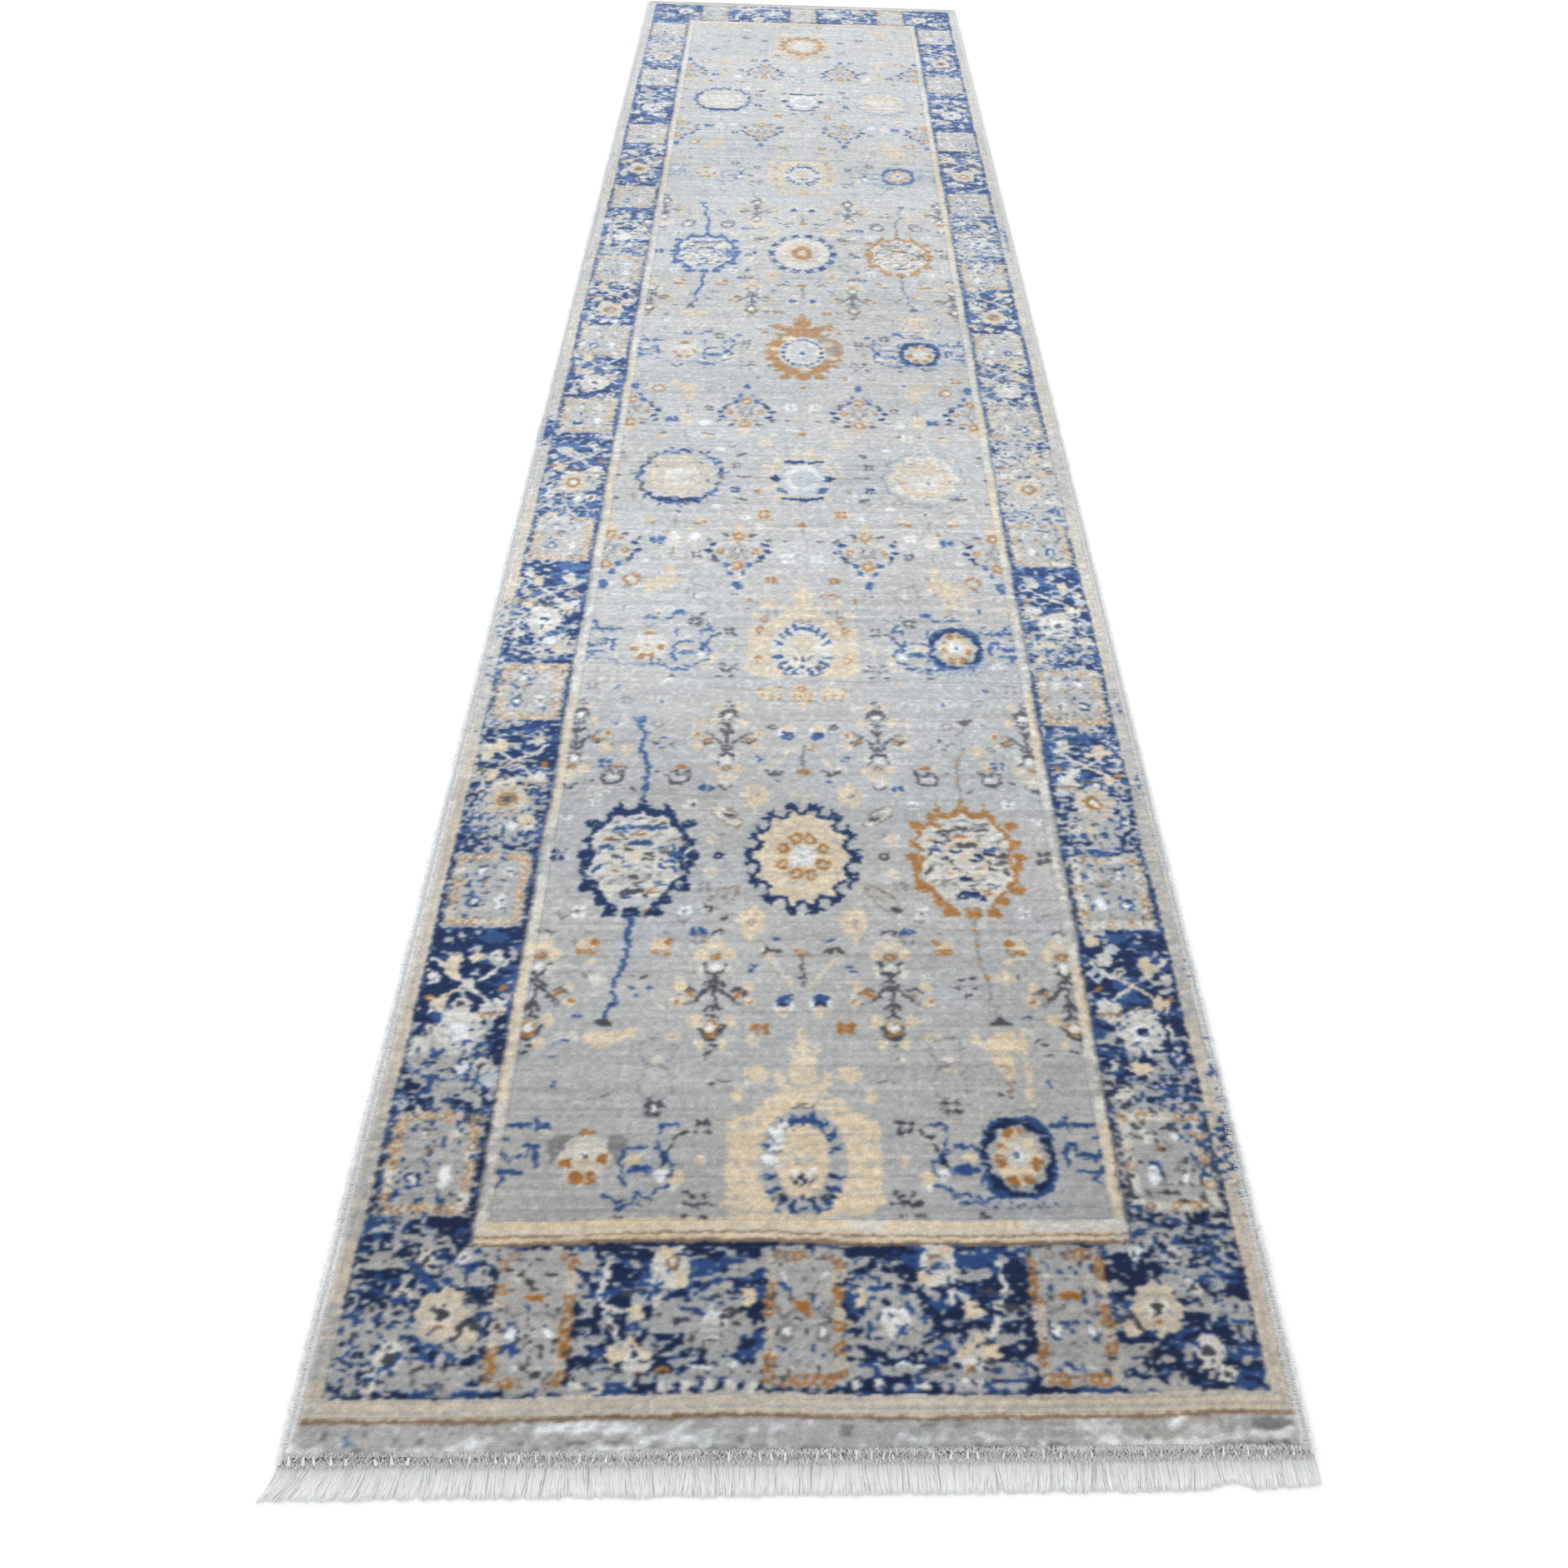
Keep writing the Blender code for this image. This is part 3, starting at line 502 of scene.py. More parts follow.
def row_b(k, y, n):
    """The row with three rings."""
    near = n == 1
    blue = BLUE if y < 0.6 else LBLUE
    centre_ring(k, 0, y, rim=NAVY if near else BLUE)
    if n == 2:
        k.at(0, y)
        k.disc(0, 0, 0.062, PALE, ry=0.074)
        k.disc(0, 0, 0.040, PEACH, ry=0.048)
        k.disc(0, 0.002, 0.024, TAN, ry=0.030, hole=0.35)
        k.disc(0, 0.002, 0.010, CREAM, ry=0.014)
    side_ring(k, -0.222, y, 1, rim=NAVY if near else BLUE, fill=(PALE, DGREY, BLUE if n == 2 else CHAR), mark=BLUE)
    side_ring(k, 0.222, y, 1, rim=TAN, fill=(PALE, DGREY, NAVY if near else DGREY), bottom=False, loose=0.06, mark=CHAR)
    k.at(0.222, y)
    k.line([(-0.050, 0.050), (-0.044, 0.056), (-0.034, 0.050)], 0.005, TAN)
    k.line([(-0.004, -0.062), (0.012, -0.061)], 0.005, BLUE)
    for my in (1, -1):
        stem(k, -0.222, y, -1, my, ink=blue, cap=CHAR if my > 0 else BLUE)
        stem(k, 0.222, y, 1, my, ink=DGREY if near else BLUE, ink2=TAN, cap=CHAR)
    for s in (-1, 1):
        for my in (1, -1):
            k.at(0, y, mx=s, my=my)
            k.disc(0.067, 0.102, 0.0185, CREAM, ry=0.0230, lobes=8, depth=0.18)
            k.disc(0.067, 0.103, 0.0050, DGREY, hole=0.55)
            if my < 0:
                k.poly([(0.060, 0.118), (0.074, 0.118), (0.067, 0.136)], CREAM)
            k.disc(0.122, 0.028, 0.011, PALE, lobes=6, depth=0.2)
            k.disc(0.122, 0.028, 0.006, CREAM)
            # leaf with a double outline
            k.at(0.105 * s, y + 0.066 * my, mx=s, my=my)
            k.disc(0, 0, 0.027, BROWN, ry=0.0115, turn=0.68)
            k.disc(0, 0, 0.0245, PALE if my > 0 else FIELD, ry=0.0088, turn=0.68)
            k.line([(-0.016, -0.010), (0.016, 0.013)], 0.0018, DGREY, gap=0.4)
            if my > 0:
                k.disc(-0.004, -0.001, 0.0110, CHAR, ry=0.0050, turn=0.4)
            else:
                k.disc(0.018, 0.016, 0.0070, CHAR, ry=0.0050)
            k.at(0, y, mx=s, my=my)
            k.quatre(0.155, 0.086, 0.008, WHITE, eye=CHAR)
            k.quatre(0.290, 0.088, 0.008, WHITE, eye=CHAR)
            k.bow(0.135, 0.115, 0.018, 0.014, BLUE)
        k.at(0, y, mx=s)
        k.disc(0.112, 0, 0.006, NAVY if s < 0 else CHAR, ry=0.007)
        k.disc(0.112, 0, 0.002, PALE)
        k.quatre(0.328, 0.0, 0.009, NAVY if s < 0 else CHAR)
        # heads beside the stems
        for q, mark in ((0.177, TAN), (0.270, TAN)):
            k.disc(q + 0.004, -0.135, 0.014, CREAM if near else PALE, ry=0.010, lobes=6, depth=0.2)
            k.disc(q - 0.006, -0.132, 0.0065, mark, ry=0.0045)
            k.disc(q - 0.004, -0.145, 0.0075, mark, ry=0.0040, hole=0.35)
            k.disc(q + 0.009, -0.145, 0.0070, mark, ry=0.0045, hole=0.3)
            k.line([(q - 0.014, -0.118), (q + 0.014, -0.118)], 0.0022, DGREY, gap=0.3)
            k.line([(q - 0.015, 0.150), (q - 0.013, 0.130), (q - 0.006, 0.122), (q + 0.012, 0.122), (q + 0.014, 0.138)], 0.0040, CHAR, gap=0.06)
            k.line([(q - 0.010, 0.146), (q - 0.003, 0.136), (q + 0.004, 0.146), (q + 0.012, 0.144)], 0.0034, CHAR, gap=0.06)
            k.disc(q, 0.134, 0.0080, PALE, ry=0.005)
            k.leaf(q - 0.002, 0.153, 0.022, 0.006, 0, TAN if near else CHAR)
        k.dashes([(0.300, 0.128), (0.206, 0.188), (0.188, 0.190)], 0.007, 0.006, CHAR)
    k.at(0, y)
    k.rosette(-0.255, -0.182, 0.012, petal=PALE, eye=WHITE, n=4)
    k.rosette(0.255, -0.182, 0.013, petal=CREAM, eye=WHITE, n=4)
    k.rosette(-0.255, 0.183, 0.012, petal=CREAM, eye=PALE, n=6)
    k.rosette(0.255, 0.183, 0.013, petal=CREAM, eye=PALE, n=6)
    k.disc(-0.285, 0.183, 0.010, CREAM, lobes=5, depth=0.2)


def tree(k, x, y, my=1, half=0, ink=CHAR, tan=TAN, cream=CREAM):
    """The stalk between two rows, with branches, loops and cream flowers."""
    k.at(x, y, my=my)
    sides = (-1, 1) if not half else (half,)
    k.disc(0, 0.055, 0.017, cream, ry=0.009, lobes=6, depth=0.25)
    k.disc(0, 0.062, 0.007, PALE, ry=0.008)
    k.line([(-0.009, 0.070), (-0.004, 0.076), (0.004, 0.076), (0.009, 0.070)], 0.0030, ink)
    k.disc(0, 0.038, 0.0070, tan, ry=0.0055, hole=0.40)
    k.line([(-0.013, 0.028), (-0.010, 0.016), (0, 0.012), (0.010, 0.016), (0.013, 0.028)], 0.0040, ink)
    k.disc(0, 0.022, 0.0075, PALE, ry=0.0075)
    k.disc(0, 0.023, 0.0045, WHITE, ry=0.0055)
    k.line([(-0.010, -0.002), (-0.005, 0.004), (0.005, 0.004), (0.010, -0.002)], 0.0034, ink)
    k.line([(0, 0.008), (0, -0.044)], 0.0038, ink, gap=0.06)
    k.line([(-0.009, -0.034), (0, -0.024), (0.009, -0.034)], 0.0040, ink)
    k.line([(-0.009, -0.046), (0, -0.042), (0.009, -0.046)], 0.0034, ink)
    k.disc(0, -0.060, 0.0100, tan if my > 0 else ink, ry=0.0100, hole=0.50)
    k.line([(-0.011, -0.066), (-0.006, -0.072), (0.006, -0.072), (0.011, -0.066)], 0.0032, ink)
    k.disc(0, -0.059, 0.0075, PALE, ry=0.007)
    k.disc(0, -0.060, 0.0045, WHITE)
    k.dashes([(0, -0.074), (0.003, -0.082), (-0.002, -0.090)], 0.010, 0.004, ink)
    for s in sides:
        k.line([(0.004 * s, -0.004), (0.014 * s, -0.012), (0.024 * s, -0.022)], 0.0036, ink)
        k.leaf(0.030 * s, -0.014, 0.019, 0.0070, 25 * s, tan)
        k.leaf(0.031 * s, -0.026, 0.017, 0.0060, -15 * s, DGREY)
        k.line([(0.022 * s, -0.010), (0.032 * s, -0.006), (0.040 * s, -0.014)], 0.0026, ink, gap=0.1)
        k.disc(0.045 * s, -0.024, 0.0095, cream, ry=0.007, lobes=5, depth=0.3)
        k.disc(0.046 * s, -0.024, 0.0032, tan)
        k.leaf(0.012 * s, -0.060, 0.014, 0.0050, 50 * s, ink)
        k.disc(0.042 * s, -0.004, 0.0080, cream, ry=0.007)
        k.disc(0.018 * s, 0.040, 0.0080, cream, ry=0.009)
        k.disc(0.022 * s, -0.050, 0.0090, cream, ry=0.008)
        k.disc(0.014 * s, -0.080, 0.0060, cream, ry=0.008)
        k.disc(0.016 * s, 0.018, 0.0055, PALE, ry=0.008)


def row_ab(k, y0, y1, n):
    """What lies between an A row and the B row next to it. y0 is the A row and y1 the B row."""
    d = 1 if y1 > y0 else -1
    b = y1
    for s in (-1, 1):
        tree(k, 0.110 * s, b - d * 0.190, my=d, tan=TAN, cream=CREAM)
        tree(k, 0.330 * s, b - d * 0.190, my=d, half=-s)
        k.at(0, b, mx=s, my=d)
        k.line([(0.006, -0.196), (0.030, -0.172), (0.052, -0.140)], 0.0036, CREAM, gap=0.08)
        k.line([(0.024, -0.180), (0.036, -0.156)], 0.0024, PALE)
        k.disc(0.022, -0.213, 0.0095, BLUE, ry=0.009)
        k.disc(0.022, -0.219, 0.005, NAVY, ry=0.003)
        k.disc(0.023, -0.228, 0.009, CREAM, ry=0.008)
        k.disc(0.013, -0.222, 0.003, WHITE, ry=0.008)
        k.disc(0.033, -0.220, 0.003, WHITE, ry=0.008)
        k.dashes([(0.035, -0.128), (0.060, -0.166), (0.064, -0.172)], 0.010, 0.0045, BLUE)
        k.line([(0.030, -0.146), (0.044, -0.140), (0.052, -0.146)], 0.0040, CHAR, gap=0.05)
        k.dashes([(0.190, -0.196), (0.214, -0.196), (0.204, -0.206)], 0.009, 0.004, CHAR if s > 0 else BLUE)
        k.dashes([(0.268, -0.236), (0.276, -0.234)], 0.009, 0.003, BLUE)
        k.disc(0.264, -0.160, 0.007, CREAM, ry=0.005)
    k.at(0, b, my=d)
    k.poly([(-0.010, -0.140), (0.010, -0.140), (0.008, -0.150), (0.0, -0.154), (-0.008, -0.150)], TAN)
    k.line([(0, -0.154), (0, -0.194)], 0.0024, CHAR, gap=0.15)
    k.dashes([(0, -0.168), (0, -0.180)], 0.008, 0.003, CHAR)


def row_c(k, y, n):
    """The row with three cream-filled palmettes."""
    k.at(-0.222, y)
    pale = CREAM if n == 1 else PALE
    for q in range(15):
        a = 2 * math.pi * q / 15 + 0.1
        b = a + 2 * math.pi / 15
        k.line([(0.070 * math.cos(a), 0.072 * math.sin(a)), (0.078 * math.cos((a + b) / 2), 0.081 * math.sin((a + b) / 2)), (0.070 * math.cos(b), 0.072 * math.sin(b))], 0.0056, (NAVY, BLUE, CHAR)[q % 3], gap=0.26, seed=q)
        k.line([(0.074 * math.cos(a), 0.076 * math.sin(a)), (0.086 * math.cos(a + 0.06), 0.090 * math.sin(a + 0.06))], 0.0036, BLUE, gap=0.15, seed=q + 9)
    k.rect(-0.036, 0.044, -0.074, -0.061, NAVY)
    k.rect(-0.024, -0.004, 0.066, 0.073, BLUE)
    k.disc(0, 0, 0.062, pale, ry=0.064, lobes=13, depth=0.24)
    k.disc(0, 0, 0.046, FIELD, ry=0.048, lobes=13, depth=0.16, hole=0.84)
    k.disc(0, 0, 0.030, PALE, ry=0.032, lobes=7, depth=0.2)
    for q in range(11):
        a = 2 * math.pi * q / 11 + 0.3
        k.leaf(0.052 * math.cos(a), 0.054 * math.sin(a), 0.013, 0.0042, math.degrees(a) + 90, (FIELD, BLUE, PALE)[q % 3])
    k.dashes([(-0.038, 0.006), (0.036, 0.006), (0.0, 0.028), (-0.002, -0.030)], 0.006, 0.004, DGREY)
    k.at(0, y)
    k.disc(0, 0.002, 0.066, PALE, ry=0.076, lobes=14, depth=0.16)
    for q in range(14):
        a = 2 * math.pi * q / 14
        k.disc(0.071 * math.cos(a), 0.002 + 0.081 * math.sin(a), 0.0084, PALE if q % 3 else CREAM, hole=0.30)
    k.disc(0, 0.004, 0.062, CREAM, ry=0.072, lobes=14, depth=0.16, hole=0.78)
    k.disc(0, 0.0, 0.050, SKY, ry=0.058)
    k.disc(0, 0.0, 0.036, WHITE, ry=0.042, lobes=9, depth=0.2)
    k.disc(0.004, -0.004, 0.024, SKY, ry=0.026)
    for s in (-1, 1):
        k.disc(0.049 * s, -0.002, 0.0100, NAVY, ry=0.0095, lobes=5, depth=0.3)
        k.line([(0.030 * s, 0.020), (0.046 * s, 0.016)], 0.0030, DGREY, gap=0.2)
        k.leaf(0.036 * s, -0.038, 0.030, 0.013, 38 * s, BLUE)
    k.line([(-0.032, 0.048), (-0.014, 0.046), (0.0, 0.049), (0.012, 0.044), (0.034, 0.048)], 0.0074, NAVY, gap=0.08)
    k.line([(-0.034, -0.058), (-0.010, -0.062), (0.008, -0.066), (0.020, -0.060), (0.034, -0.058)], 0.0068, NAVY, gap=0.06)
    k.disc(0, -0.066, 0.006, NAVY, ry=0.005)
    k.at(0.222, y)
    for q in range(12):
        a = 2 * math.pi * q / 12 + 0.2
        b = a + 2 * math.pi / 12
        k.line([(0.070 * math.cos(a), 0.074 * math.sin(a)), (0.078 * math.cos((a + b) / 2), 0.082 * math.sin((a + b) / 2)), (0.070 * math.cos(b), 0.074 * math.sin(b))], 0.0026, DGREY if q % 2 else LBLUE, gap=0.25, seed=q + 3)
    k.disc(0, 0.004, 0.066, PALE, ry=0.070, lobes=10, depth=0.22)
    k.disc(0, 0.004, 0.056, CREAM, ry=0.060, lobes=10, depth=0.20, hole=0.70)
    k.disc(0, 0.030, 0.036, CREAM, ry=0.020)
    for q in range(9):
        a = 2 * math.pi * q / 9 + 0.6
        k.leaf(0.047 * math.cos(a), 0.050 * math.sin(a), 0.014, 0.0040, math.degrees(a) + 90, FIELD if q % 2 else LBLUE)
    k.line([(-0.040, -0.080), (0.0, -0.080), (0.046, -0.078), (0.044, -0.094), (0.020, -0.096)], 0.0026, DGREY, gap=0.12)
    k.line([(0.046, -0.056), (0.072, -0.056)], 0.005, CHAR, gap=0.1)
    k.dashes([(0.006, -0.010), (0.012, 0.004), (0.002, -0.022)], 0.004, 0.007, LBLUE)
    for s in (-1, 1):
        k.at(0, y, mx=s)
        k.line([(0.062, 0.0), (0.146, 0.0)], 0.0026, DGREY, gap=0.12)
        k.dashes([(0.106, 0.0), (0.098, 0.002), (0.118, 0.002)], 0.010, 0.005, CHAR)
        k.quatre(0.122, 0.034, 0.008, CHAR)
        k.quatre(0.122, -0.036, 0.008, NAVY)
        k.leaf(0.112, 0.068, 0.026, 0.009, -38, CHAR)
        k.leaf(0.108, -0.064, 0.024, 0.008, 20, CHAR)
        k.disc(0.082, -0.040, 0.004, TAN, ry=0.006)
        k.dashes([(0.330, 0.068), (0.334, 0.0), (0.330, -0.066)], 0.010, 0.008, CHAR)
        for my in (1, -1):
            k.at(0, y, mx=s, my=my)
            k.rosette(0.068, 0.104, 0.017, petal=CREAM, eye=CREAM, n=4)
            k.quatre(0.068, 0.104, 0.010, TAN if my < 0 else PALE)
            k.disc(0.155, 0.085, 0.008, WHITE, ry=0.006)
            k.dashes([(0.182, 0.130), (0.266, 0.130)], 0.016, 0.006, TAN if my < 0 else CHAR)
            k.disc(0.178, 0.124, 0.013, CREAM, ry=0.008)
            k.disc(0.268, 0.122, 0.013, CREAM, ry=0.008)
            k.dashes([(0.185, 0.132), (0.262, 0.132), (0.172, 0.128)], 0.012, 0.006, TAN if my < 0 else CHAR)
            k.line([(0.222, 0.110), (0.222, 0.160)], 0.0026, BROWN, gap=0.35, seed=5)
            k.disc(0.222, 0.176, 0.013, CREAM if my > 0 else PALE, ry=0.022)
            k.line([(0.222, 0.196), (0.222, 0.236)], 0.0026, BROWN, gap=0.45, seed=6)
    for my in (1, -1):
        k.at(0, y, my=my)
        k.disc(0, 0.133, 0.008, TAN, ry=0.006, lobes=5, depth=0.3)
        k.line([(0, 0.140), (0, 0.165)], 0.0024, CHAR, gap=0.3)
        for s in (-1, 1):
            k.line([(0.012 * s, 0.142), (0.045 * s, 0.160)], 0.0028, PALE)
            k.line([(0.030 * s, 0.175), (0.062 * s, 0.120)], 0.0026, CREAM, gap=0.3)
            k.quatre(0.024 * s, 0.222, 0.011, WHITE)
            k.dashes([(0.055 * s, 0.180), (0.030 * s, 0.178)], 0.011, 0.005, CHAR)


def diamond(k, x, y, side=0, my=1):
    """The diamond of navy leaves and tan flowers between an A and a C row."""
    k.at(x, y, my=my)
    sides = (-1, 1) if not side else (side,)
    k.disc(0, 0.062, 0.012, CREAM, ry=0.013)
    for py, ink in ((0.040, TAN), (-0.036, TAN)):
        k.disc(0, py, 0.012, ink, ry=0.014, lobes=8, depth=0.35)
        k.disc(0, py, 0.005, CREAM)
    k.line([(0, 0.026), (0, -0.024)], 0.0030, BROWN, gap=0.25)
    k.disc(0, 0.002, 0.016, DGREY, ry=0.014, hole=0.80)
    for q in (-1, 1):
        k.leaf(0.011 * q, 0.019, 0.015, 0.0065, 45 * q, CREAM)
        k.leaf(0.013 * q, -0.014, 0.015, 0.0065, -45 * q, BROWN)
        k.leaf(0.007 * q, 0.004, 0.011, 0.0050, 80, CHAR)
        k.leaf(0.020 * q, 0.030, 0.012, 0.0050, 20 * q, TAN)
    k.disc(0, -0.085, 0.0075, BLUE, ry=0.012)
    for s in sides:
        k.disc(0.030 * s, 0.0, 0.008, TAN, ry=0.009, lobes=6, depth=0.3)
        k.disc(0.030 * s, 0.0, 0.003, CREAM)
        for px, py, lg, w, deg, ink in ((0.024, 0.042, 0.016, 0.007, 20, CHAR), (0.044, 0.018, 0.016, 0.007, -20, NAVY), (0.050, 0.000, 0.015, 0.008, 0, NAVY), (0.040, -0.014, 0.014, 0.007, 60, NAVY), (0.036, -0.024, 0.015, 0.007, 30, CHAR), (0.020, -0.034, 0.016, 0.009, 50, BLUE), (0.012, -0.054, 0.014, 0.008, 65, BLUE), (0.050, 0.030, 0.014, 0.005, 40, CHAR)):
            k.leaf(px * s, py, lg * 1.10, w * 1.30, deg * s, ink)
        k.line([(0.002 * s, -0.008), (0.022 * s, 0.012), (0.036 * s, 0.006)], 0.0024, DGREY, gap=0.15)


def row_ac(k, y0, y1, n):
    """What lies between an A row and the C row next to it."""
    d = 1 if y1 > y0 else -1
    c = y1
    for s in (-1, 1):
        diamond(k, 0.110 * s, c - d * 0.205, my=d)
        diamond(k, 0.330 * s, c - d * 0.205, side=-s, my=d)
        k.at(0, c, mx=s, my=d)
        k.bow(0.250, -0.178, 0.022, 0.024, BLUE)
        k.quatre(0.180, -0.215, 0.008, CHAR)
        k.rosette(0.284, -0.280, 0.015, petal=TAN, eye=CREAM, n=8)
        k.disc(0.284, -0.280, 0.008, PALE)
        k.dashes([(0.184, -0.275), (0.184, -0.287), (0.190, -0.300)], 0.009, 0.004, DGREY)
        k.poly([(0.214, -0.240), (0.232, -0.240), (0.226, -0.262), (0.248, -0.282), (0.262, -0.300), (0.252, -0.322), (0.240, -0.300), (0.214, -0.300), (0.210, -0.280)], CREAM)
        k.dashes([(0.088, -0.325)], 0.005, 0.012, TAN)
        k.disc(0.186, -0.168, 0.013, WHITE, ry=0.012, lobes=6, depth=0.25)


def cartouche(k, x, y, turn=0, n=0, seen=1.0, chain=0.2):
    """A grey panel in the border with a chain of tan links round it. turn swaps across and along."""
    w, h = (0.050, 0.058) if turn == 0 else (0.041, 0.063)
    k.at(x, y)
    k.rect(-w - 0.002, w + 0.002, -h, h, CART)
    k.rect(-w, w, -h + 0.004, h - 0.004, CART)
    rng = np.random.RandomState(100 + n)
    def links(ax, ay, bx, by):
        long = math.hypot(bx - ax, by - ay)
        m = max(2, int(long / 0.0105))
        k.line([(ax, ay), (bx, by)], 0.009, PALE, gap=0.15, seed=n)
        for q in range(m + 1):
            if rng.rand() < seen:
                px, py = ax + (bx - ax) * q / m, ay + (by - ay) * q / m
                ink = STRAW if rng.rand() < chain * 2.4 else BROWN if rng.rand() < 0.6 else PEACH
                k.disc(px, py, 0.0056, ink, hole=0.55)
    e = 0.008
    links(-w + e, h - e, w - e, h - e)
    links(-w + e, -h + e, w - e, -h + e)
    links(-w + e, -h + e, -w + e, h - e)
    links(w - e, -h + e, w - e, h - e)
    for q in (-1, 1):
        k.dashes([(q * (w + 0.001), t) for t in np.arange(-h + 0.01, h - 0.008, 0.009)], 0.004, 0.006, CHAR)
    # inside: an oval, a seed, and bits
    s = 1 if (n % 2) else -1
    k.disc(0.017 * s, -0.020, 0.009, BLUE, ry=0.010, hole=0.55)
    k.disc(0.017 * s, -0.020, 0.004, WHITE)
    k.disc(-0.018 * s, -0.018, 0.007, WHITE, ry=0.011)
    k.leaf(-0.006, 0.012, 0.013, 0.005, 80, TAN)
    k.disc(0.014 * s, 0.027, 0.004, WHITE, ry=0.006)
    k.leaf(0.014 * s, 0.035, 0.012, 0.004, 0, CHAR)
    k.disc(-0.020 * s, 0.026, 0.008, PALE, ry=0.010)
    for q in range(10):
        px, py = (rng.rand() - 0.5) * 1.5 * w, (rng.rand() - 0.5) * 1.5 * h
        k.leaf(px, py, 0.010 + 0.006 * rng.rand(), 0.0030, rng.rand() * 180, DGREY if rng.rand() < 0.7 else CHAR)


def end_cartouche(k, x, y, n):
    w, h = 0.041, 0.066
    k.at(x, y)
    k.rect(-w, w, -h, h, CART)
    rng = np.random.RandomState(40 + n)
    for s in (-1, 1):
        for t in np.arange(-h + 0.012, h - 0.006, 0.0115):
            if rng.rand() < 0.86:
                k.disc(s * (w - 0.005), t, 0.0062, TAN if rng.rand() < 0.6 else PEACH, hole=0.5)
        for t in np.arange(-w + 0.014, w - 0.010, 0.0105):
            if rng.rand() < 0.8:
                k.disc(t, s * (h - 0.007), 0.0056, TAN if rng.rand() < 0.45 else BROWN, hole=0.55)
    if n == 1:
        k.poly([(-0.010, 0.014), (0.009, 0.014), (0.006, 0.004), (0.0, -0.002), (-0.006, 0.005)], TAN)
        k.disc(0, 0.016, 0.002, CART)
    else:
        k.leaf(0.0, 0.018, 0.024, 0.006, 0, TAN)
    for s in (-1, 1):
        k.disc(0.019 * s, -0.014, 0.007, BLUE if n != 1 else DGREY, ry=0.011, hole=0.55)
        k.disc(0.019 * s, -0.014, 0.0042, WHITE, ry=0.006)
        k.leaf(0.021 * s, 0.038, 0.014, 0.004, 50 * s, WHITE if n == 1 else PALE)
        k.line([(0.010 * s, 0.006), (0.022 * s, 0.000), (0.030 * s, 0.012)], 0.0024, DGREY, gap=0.2)
        k.line([(0.012 * s, -0.030), (0.022 * s, -0.040)], 0.003, CHAR, gap=0.3)
        k.disc(0.012 * s, -0.048, 0.003, PALE)
    k.dashes([(0.0, 0.034), (0.004, -0.030), (-0.006, -0.042), (0.012, 0.026)], 0.005, 0.004, DGREY)


